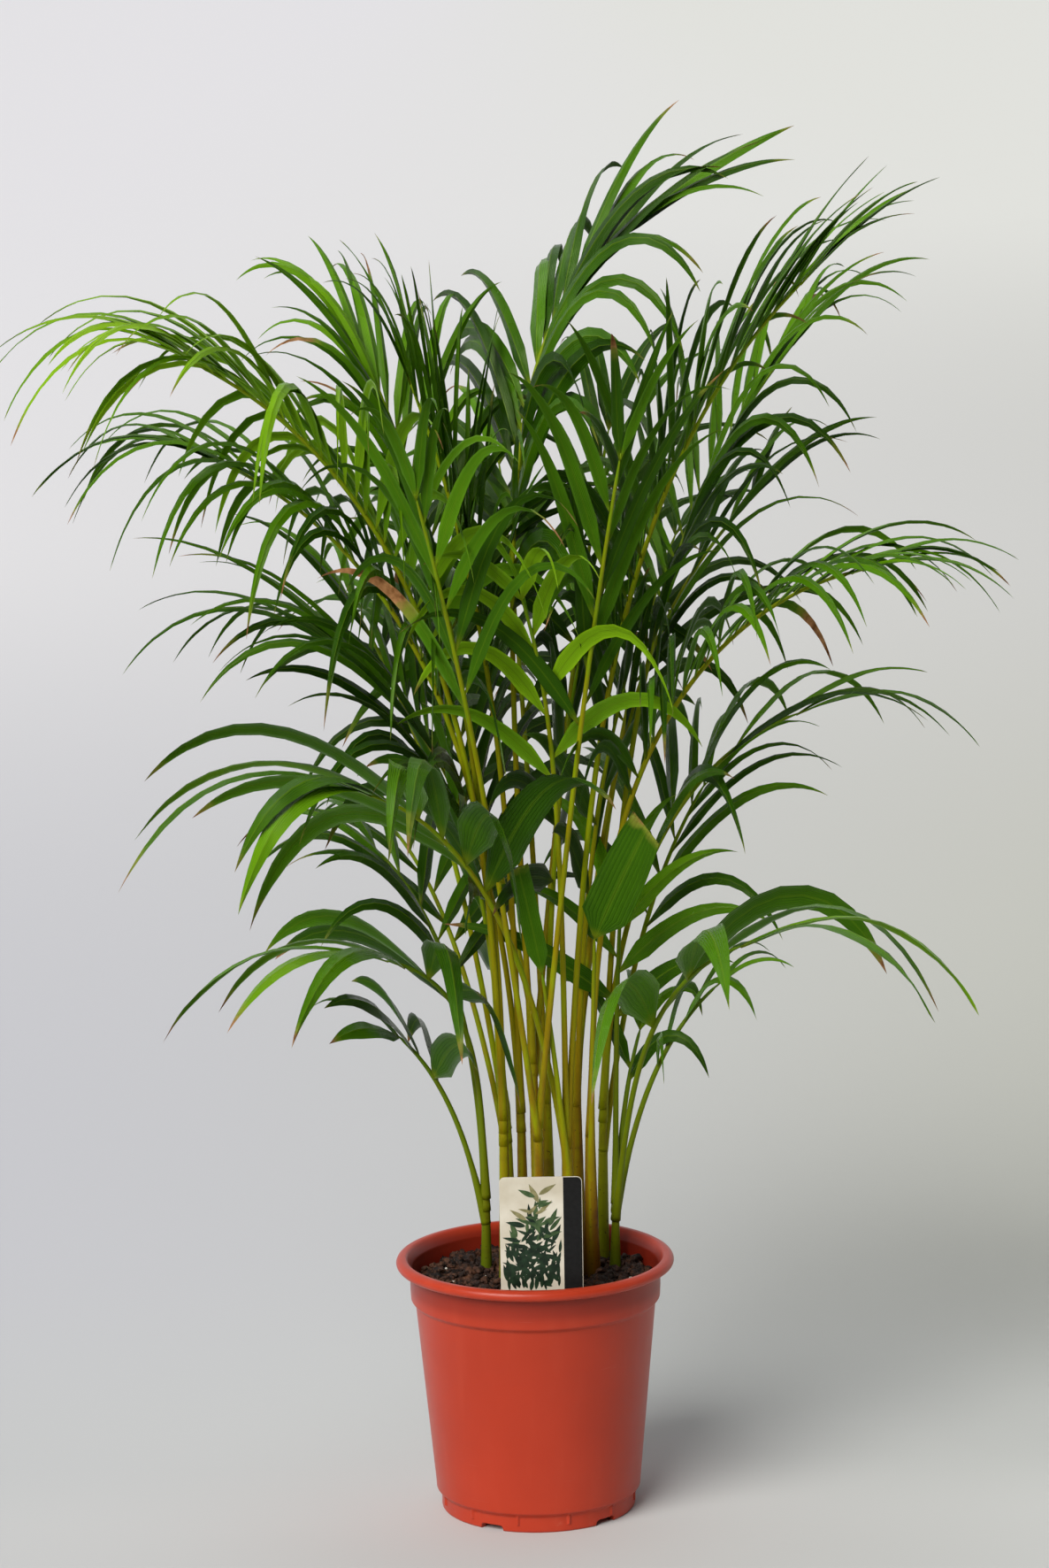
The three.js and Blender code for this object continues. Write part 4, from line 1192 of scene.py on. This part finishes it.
class Stalk:
    """A frond's stalk: the points of its line, the share where the midrib begins, and how thick it is."""

    def __init__(self, palm, frond):
        point = cane_point(palm, frond.start)
        self.row = [point.copy()]
        for i in range(STALK_STEPS):
            point += stalk_direction(frond, (i + 0.5) / STALK_STEPS) * (frond.length / STALK_STEPS)
            self.row.append(point.copy())
        self.foot = 1 - frond.leafy
        self.petiole_steps = math.ceil((frond.length * self.foot) / PETIOLE_STEP)
        self.midrib_steps = math.ceil((frond.length * frond.leafy) / MIDRIB_STEP)
        self.midrib = [
            on_row(self.row, self.foot + (frond.leafy * i) / self.midrib_steps)
            for i in range(self.midrib_steps + 1)
        ]
        self.level = (on_row(self.row, 1) - on_row(self.row, self.foot)).cross(UP).normalized()

    def radius(self, t):
        """The stalk's radius at the share t of its length, as on the solid."""
        if t < self.foot:
            steps = t / self.foot * self.petiole_steps
        else:
            steps = self.petiole_steps + (t - self.foot) / (1 - self.foot) * self.midrib_steps
        return lerp(STALK_RADIUS, STALK_TIP_RADIUS, steps / (self.petiole_steps + self.midrib_steps))


class Leaflet:
    """One leaflet of a frond before it gives way: where it grows and its free direction."""

    def __init__(self, frond, stalk, share, side, seed):
        self.along = stalk_direction(frond, stalk.foot + frond.leafy * share)
        level = stalk.level
        across = (level - self.along * level.dot(self.along)).normalized()
        across = Matrix.Rotation(math.radians(frond.roll), 3, self.along) @ across
        self.above = across.cross(self.along)
        self.across = across * side
        self.root = on_row(stalk.midrib, share)
        self.share = share
        self.seed = seed
        self.spread = lerp(*frond.spread, share) + drawn_off(SPREAD_SCATTER, seed)
        self.rise = frond.rise + drawn_off(RISE_SCATTER, seed + 0.25)
        past_longest = ((share - LONGEST_AT) / (1 - LONGEST_AT)) ** 2
        full = frond.reach * (1 - (1 - frond.tip_reach) * past_longest)
        self.reach = full * (1 + drawn_off(REACH_SCATTER, seed + 0.5))
        narrowed = 1 - TIP_NARROWING * share
        self.width = frond.width * (1 + drawn_off(WIDTH_SCATTER, seed + 0.75)) * narrowed
        stiffened = lerp(1, frond.tip_droop, share)
        self.droop = frond.droop * (1 + drawn_off(DROOP_SCATTER, seed + 0.6)) * stiffened
        self.blunt = frond.blunt

    def midline(self, length, lift, swing):
        """Steps (share, point, direction, width vector) along the leaflet, once it has given way."""
        spread = math.radians(self.spread + swing)
        rise = math.radians(self.rise + lift)
        heading = (
            self.along * math.cos(spread)
            + self.across * (math.sin(spread) * math.cos(rise))
            + self.above * (math.sin(spread) * math.sin(rise))
        )
        wide = self.above.cross(heading).normalized()
        step = self.reach * length / BLADE_STEPS
        point = self.root.copy()
        line = []
        for k in range(BLADE_STEPS + 1):
            s = k / BLADE_STEPS
            direction = (heading - UP * (self.droop * s ** DROOP_POWER)).normalized()
            wide = (wide - direction * wide.dot(direction)).normalized()
            line.append((s, point.copy(), direction, wide))
            point += direction * step
        return line

    def half_width(self, s):
        """Half the blade's width at the share s of its length."""
        opening = FOOT_BREADTH + (1 - FOOT_BREADTH) * min(s / FULL_BREADTH_AT, 1)
        return self.width / 2 * (opening if self.blunt else opening * (1 - s ** TAPER_POWER))


WAYS = [(length, lift, swing) for length in LENGTHS for lift in LIFTS for swing in SWINGS]
FOUND_WITHIN = 0.25
FULL_PAIRS = 8
WIDE_GAP = 0.3
BETWEEN_SEED = 0.37


def solid_corners(name):
    """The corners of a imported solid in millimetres, to look up places in."""
    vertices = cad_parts[name].data.vertices
    tree = KDTree(len(vertices))
    for i, vertex in enumerate(vertices):
        tree.insert(vertex.co / MM, i)
    tree.balance()
    return tree


def way_of(leaflet, corners):
    """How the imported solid's leaflet gave way, or None where it was left out."""
    for way in WAYS:
        _, tip, direction, wide = leaflet.midline(*way)[-1]
        if leaflet.blunt:
            tip = tip + wide * leaflet.half_width(1)
        if corners.find(tip)[2] < FOUND_WITHIN:
            return way
    return None


def leaflets_of(frond, stalk, first_seed, corners):
    """Each leaflet of the frond and the way it lies: the solid's and, on full fronds, more between them."""
    pairs = frond.pairs
    for side in frond.sides:
        row = []
        for i in range(pairs):
            seed = first_seed + 2 * i + (side + 1) // 2
            stagger = 0 if side > 0 else STAGGER / pairs
            share = LAST_ROOT * (min(i / (pairs - 1) + stagger, 1) if pairs > 1 else 1)
            leaflet = Leaflet(frond, stalk, share, side, seed)
            way = way_of(leaflet, corners)
            if way:
                row.append((leaflet, way))
        yield from row
        if pairs < FULL_PAIRS:
            continue
        for (low, low_way), (high, high_way) in zip(row, row[1:]):
            if high.share - low.share > WIDE_GAP:
                continue
            share = (low.share + high.share) / 2
            between = Leaflet(frond, stalk, share, side, low.seed + BETWEEN_SEED)
            yield between, tuple((a + b) / 2 for a, b in zip(low_way, high_way))


# ---- fine leaflets

BLADE_RINGS = (0, 1, 2, 3, 4, 5, 7, 9, 11, 13, 15, 17, 19, 21, 22, 23, 24)
THICKNESS = 0.42
FOOT_THICKENING = 1.6
MIDRIB_BELOW = 1.35
MIDRIB_ABOVE = 0.22
FOLD = 1.35
FOLD_ROUNDING = 0.85
CUPPING = 0.25
TWIST = 110
RIPPLE = 0.045
RIPPLE_TURNS = 14
RIPPLE_LAG = 1.5
TORN_END = 3.5
# The points round a blade's section: the share of its half width, and whether each is on the upper face.
BLADE_SECTION = (
    (1, True), (0.55, True), (0.08, True), (0, True), (-0.08, True), (-0.55, True),
    (-1, True), (-0.55, False), (0, False), (0.55, False),
)


def add_blade(skin, leaflet, way, tone, dry):
    """A thin folded blade with a raised midrib, which tapers to a fine tip or ends torn and blunt."""
    line = leaflet.midline(*way)
    seed = leaflet.seed
    twist = math.radians(drawn_off(TWIST, seed + 0.9))
    wave = RIPPLE * leaflet.width * draw(seed + 0.13)
    phase = 6.28 * draw(seed + 0.41)
    numbers = list(BLADE_RINGS) + ([BLADE_STEPS] if leaflet.blunt else [])
    rings = []
    for k in numbers:
        s, point, direction, wide = line[k]
        wide = Matrix.Rotation(twist * s * s, 3, direction) @ wide
        above = direction.cross(wide)
        half = leaflet.half_width(s)
        fold = FOLD * (RIDGE + RIDGE_SWELL * math.sin(math.pi * s)) * min(half / 5, 1)
        thick = THICKNESS * (FOOT_THICKENING - s)
        ring = []
        for u, upper in BLADE_SECTION:
            out = abs(u)
            height = fold * (1 - out) ** FOLD_ROUNDING - CUPPING * fold * math.sin(math.pi * out)
            height += wave * out * math.sin(RIPPLE_TURNS * s + phase + (RIPPLE_LAG if u > 0 else 0))
            if not upper:
                height -= thick * (MIDRIB_BELOW if u == 0 else 1)
            elif u == 0:
                height += MIDRIB_ABOVE * thick
            torn = leaflet.blunt and k == BLADE_STEPS
            end = drawn_off(TORN_END, seed + 3.1 * u + 7) if torn else 0
            ring.append(skin.point(
                point + wide * (u * half) + above * height + direction * end,
                across=u, along=s, tone=tone, dry=dry, under=0 if upper else 1, edge=1 if out == 1 else 0,
            ))
        rings.append(ring)
    sides = len(BLADE_SECTION)
    for low, high in zip(rings, rings[1:]):
        for j in range(sides):
            k = (j + 1) % sides
            skin.faces.append((low[j], high[j], high[k], low[k]))
    skin.faces.append(tuple(rings[0]))
    if leaflet.blunt:
        skin.faces.append(tuple(reversed(rings[-1])))
    else:
        tip = skin.point(line[BLADE_STEPS][1], along=1, tone=tone, dry=dry, under=0, edge=1)
        last = rings[-1]
        skin.faces += [(last[j], tip, last[(j + 1) % sides]) for j in range(sides)]


# ---- fine canes and stalks

CANE_SIDES = 16
CANE_STEPS = 90
CANE_SUNK = 16
CANE_SWELL = 0.1
SWELL_HEIGHT = 18
CANE_TIP = 14
CANE_TIP_SHARE = 0.55
TAPER_FROM = 0.03
FIRST_SCAR = 14
FIRST_SCAR_SCATTER = 12
SCAR_PITCH = 24
SCAR_PITCH_SCATTER = 16
NO_SCAR_BELOW_TOP = 20
SCAR_WIDTH = 1.6
SCAR_RELIEF = 0.08
STALK_SIDES = 10
SHEATH = 1.5
SHEATH_LENGTH = 55
SHEATH_POWER = 1.5
FROND_END = 0.96
FROND_END_NARROWING = 0.6
# The material's height of a cane's top and a stalk's foot, where 1 is a frond's tip.
CANE_TOP_HEIGHT = 0.55
STALK_FOOT_HEIGHT = 0.45


def add_tube(skin, points, radii, sides, **values):
    """A round tube along points; `values` are numbers, or lists with one number for each point."""
    across = Vector((1, 0, 0))
    rings = []
    for i, point in enumerate(points):
        along = (points[min(i + 1, len(points) - 1)] - points[max(i - 1, 0)]).normalized()
        across = (across - along * across.dot(along)).normalized()
        above = across.cross(along)
        own = {key: value[i] if isinstance(value, list) else value for key, value in values.items()}
        ring = []
        for j in range(sides):
            turn = 2 * math.pi * j / sides
            offset = above * math.cos(turn) + across * math.sin(turn)
            ring.append(skin.point(point + offset * radii[i], **own))
        rings.append(ring)
    skin.tube(rings)


def scar_heights(top, seed):
    """Heights of a cane's leaf scars, one every few centimetres."""
    z = SOIL_LEVEL + FIRST_SCAR + FIRST_SCAR_SCATTER * draw(seed)
    while z < top - NO_SCAR_BELOW_TOP:
        yield z
        z += SCAR_PITCH + SCAR_PITCH_SCATTER * draw(seed + z)


def add_cane(skin, palm, seed):
    """A cane with a slightly swollen foot and leaf-scar rings."""
    top = palm.top[2]
    scars = list(scar_heights(top, seed))
    points, radii, heights, marks = [], [], [], []
    for i in range(CANE_STEPS + 1):
        z = lerp(SOIL_LEVEL - CANE_SUNK, top, i / CANE_STEPS)
        above_soil = max(z - SOIL_LEVEL, 0)
        share = above_soil / (top - SOIL_LEVEL)
        points.append(cane_point(palm, z) if z > SOIL_LEVEL else Vector((*palm.root, z)))
        taper = lerp(1, CANE_TAPER, max(0, (share - TAPER_FROM) / (1 - TAPER_FROM)))
        swell = CANE_SWELL * math.exp(-above_soil / SWELL_HEIGHT)
        nearest = min((abs(z - scar) for scar in scars), default=math.inf)
        mark = math.exp(-(nearest / SCAR_WIDTH) ** 2)
        end = lerp(CANE_TIP_SHARE, 1, soft_step(0, CANE_TIP, top - z))
        radii.append(palm.radius * (taper + swell) * end + SCAR_RELIEF * mark)
        heights.append(CANE_TOP_HEIGHT * share)
        marks.append(mark)
    add_tube(skin, points, radii, CANE_SIDES, height=heights, brown=palm.brown, ring=marks)


def add_stalk(skin, palm, stalk):
    """A stalk that leaves its cane from a clasping sheath and thins out to the frond's tip."""
    points = stalk.row
    gone = 0.0
    radii, heights = [], []
    for i, point in enumerate(points):
        if i:
            gone += (point - points[i - 1]).length
        t = i / STALK_STEPS
        sheath = SHEATH * max(0, 1 - gone / SHEATH_LENGTH) ** SHEATH_POWER
        narrowing = 1 - FROND_END_NARROWING * soft_step(FROND_END, 1, t)
        radii.append((stalk.radius(t) + sheath) * narrowing)
        heights.append(lerp(STALK_FOOT_HEIGHT, 1, t))
    add_tube(skin, points, radii, STALK_SIDES, height=heights, brown=palm.brown)


# ---- the palms

YOUNG_TIPS = 0.18
TONE_SCATTER = 0.34
WITHERED = 0.03
WORN_TIPS = (0.03, 0.1)
WITHERED_TIPS = (0.12, 0.34)
DRIED_BACK = 0.5


def dryness(leaflet, frond, first_seed):
    """How far back from its tip a leaflet has dried, as a share of its length."""
    if leaflet.seed - first_seed in frond.dried:
        return DRIED_BACK
    chance = draw(leaflet.seed + 5.7)
    if chance > frond.worn:
        return 0.0
    if chance > WITHERED:
        return lerp(*WORN_TIPS, draw(leaflet.seed + 6.1))
    return lerp(*WITHERED_TIPS, draw(leaflet.seed + 6.3))


def make_palm(palm, number):
    name = palm.name
    corners = solid_corners(name)
    blades = Skin("across", "along", "tone", "dry", "under", "edge")
    stems = Skin("height", "brown", "ring")
    add_cane(stems, palm, number + 0.5)
    for f, frond in enumerate(palm.fronds):
        stalk = Stalk(palm, frond)
        add_stalk(stems, palm, stalk)
        first_seed = SEEDS_PER_PALM * (number + 1) + SEEDS_PER_FROND * f
        for leaflet, way in leaflets_of(frond, stalk, first_seed, corners):
            tone = frond.tone + YOUNG_TIPS * leaflet.share + drawn_off(TONE_SCATTER, leaflet.seed + 2.2)
            add_blade(blades, leaflet, way, tone, dryness(leaflet, frond, first_seed))
    stems = stems.build(f"{name}_stems", STEM, "foliage")
    leaves = blades.build(f"{name}_leaves", LEAF, "foliage", crease="edge")
    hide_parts(name)
    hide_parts(name)


# ---- floor, light and camera

CAMERA_PLACE = (0, -3.6, 1.2)
CAMERA_PITCH = 10.15
CAMERA_ROLL = 0.0165
PHOTO_SIZE = (1186, 1772)
FOCAL_PIXELS = 5571
SHIFT_PIXELS = -3
SENSOR = 36
CAMERA_REACH = 100


def make_camera():
    data = bpy.data.cameras.new("camera")
    data.sensor_width = SENSOR
    data.lens = SENSOR * FOCAL_PIXELS / max(PHOTO_SIZE)
    data.shift_x = SHIFT_PIXELS / max(PHOTO_SIZE)
    data.clip_end = CAMERA_REACH
    camera = bpy.data.objects.new("camera", data)
    tilt = Matrix.Rotation(math.radians(90 - CAMERA_PITCH), 4, "X")
    camera.matrix_world = Matrix.Translation(CAMERA_PLACE) @ tilt @ Matrix.Rotation(-CAMERA_ROLL, 4, "Z")
    bpy.context.scene.collection.objects.link(camera)
    bpy.context.scene.camera = camera


FLOOR_REACH = 75
FLOOR_STEPS = 30
# The floor's tones from the front to the back: where each takes over along Y, and its left and right.
# These tones are painted light and shade: lighter in front of the pot, darker near the object and behind it
# on the right where its shadow falls, and lighter far off.
FLOOR_FRONT = ((0.565, 0.57, 0.58), (0.63, 0.64, 0.62))
FLOOR_NEAR = (-0.06, 0.12, (0.54, 0.55, 0.565), (0.56, 0.575, 0.55))
FLOOR_BEHIND = (0.1, 0.75, (0.54, 0.545, 0.585), (0.51, 0.52, 0.465))
FLOOR_FAR = (0.6, 6, (0.84, 0.835, 0.875), (0.62, 0.625, 0.605))
FLOOR_FARTHEST = (5, 16, (0.82, 0.815, 0.855), (0.80, 0.81, 0.785))


def paint_floor():
    """Matt pale grey with painted light and shade: lighter away from the object, darker near it and behind
    it on the right where its shadow falls, lighter just in front of the pot, cooler on the left and warmer
    on the right.
    """
    p = Paint("floor")
    x, y, _ = p.axes()
    right = p.step(x, -0.7, 0.9)
    far_right = p.step(x, -2.2, 2.2)
    color = p.mix(right, *FLOOR_FRONT)
    for side, (start, end, left_tone, right_tone) in (
        (right, FLOOR_NEAR), (right, FLOOR_BEHIND), (far_right, FLOOR_FAR), (far_right, FLOOR_FARTHEST)
    ):
        color = p.mix(p.step(y, start, end), color, p.mix(side, left_tone, right_tone))
    return p.finish(color, 0.9, Specular_IOR_Level=0.1)


def make_floor():
    row = FLOOR_STEPS + 1
    marks = [FLOOR_REACH * (2 * i / FLOOR_STEPS - 1) for i in range(row)]
    points = [(x, y, 0) for y in marks for x in marks]
    faces = [
        (j * row + i, j * row + i + 1, (j + 1) * row + i + 1, (j + 1) * row + i)
        for j in range(FLOOR_STEPS)
        for i in range(FLOOR_STEPS)
    ]
    mesh = bpy.data.meshes.new("floor")
    mesh.from_pydata(points, [], faces)
    mesh.materials.append(paint_floor())
    floor = bpy.data.objects.new("floor", mesh)
    bpy.context.scene.collection.objects.link(floor)
    floor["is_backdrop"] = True


STUDIO_TINT = (0.97, 0.98, 1, 1)
STUDIO_DIM = 0.06
STUDIO_BRIGHT = 0.62
LIT_AT = (0, 0, 0.55)


def make_world():
    """A studio with a bright end behind the object and darker walls and ceiling elsewhere."""
    world = bpy.data.worlds.new("studio")
    world.use_nodes = True
    tree = world.node_tree
    direction = tree.nodes.new("ShaderNodeTexCoord").outputs["Generated"]
    axes = tree.nodes.new("ShaderNodeSeparateXYZ")
    tree.links.new(direction, axes.inputs[0])
    bright = tree.nodes.new("ShaderNodeMapRange")
    bright.interpolation_type = "SMOOTHSTEP"
    tree.links.new(axes.outputs["Y"], bright.inputs["Value"])
    limits = {"From Min": -0.5, "From Max": 0.9, "To Min": STUDIO_DIM, "To Max": STUDIO_BRIGHT}
    for name, limit in limits.items():
        bright.inputs[name].default_value = limit
    sky = tree.nodes["Background"]
    sky.inputs["Color"].default_value = STUDIO_TINT
    tree.links.new(bright.outputs["Result"], sky.inputs["Strength"])
    bpy.context.scene.world = world


def add_light(kind, name, place, strength, color, **shape):
    data = bpy.data.lights.new(name, kind)
    data.energy = strength
    data.color = color
    for key, value in shape.items():
        setattr(data, key, value)
    light = bpy.data.objects.new(name, data)
    light.location = place
    light.rotation_euler = (Vector(LIT_AT) - Vector(place)).to_track_quat("-Z", "Y").to_euler()
    bpy.context.scene.collection.objects.link(light)


def make_lights():
    make_world()
    add_light("SUN", "key", place=(-1.25, -2.0, 2.4), strength=3.5, color=(1, 0.985, 0.95), angle=0.7)
    add_light("AREA", "top", place=(-0.4, 0.5, 3.2), strength=14, color=(1, 1, 1), shape="DISK", size=1.2)


# ---- everything together

make_pot()
make_soil()
make_crumbs()
make_fibres()
make_label()
for number, palm in enumerate(PALMS):
    make_palm(palm, number)
make_camera()
make_floor()
make_lights()

scene = bpy.context.scene
scene.view_settings.view_transform = "Standard"

dressed_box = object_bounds()
boxes = {"solid": solid_box, "dressed": dressed_box}
{name: [list(corner) for corner in box] for name, box in boxes.items()}
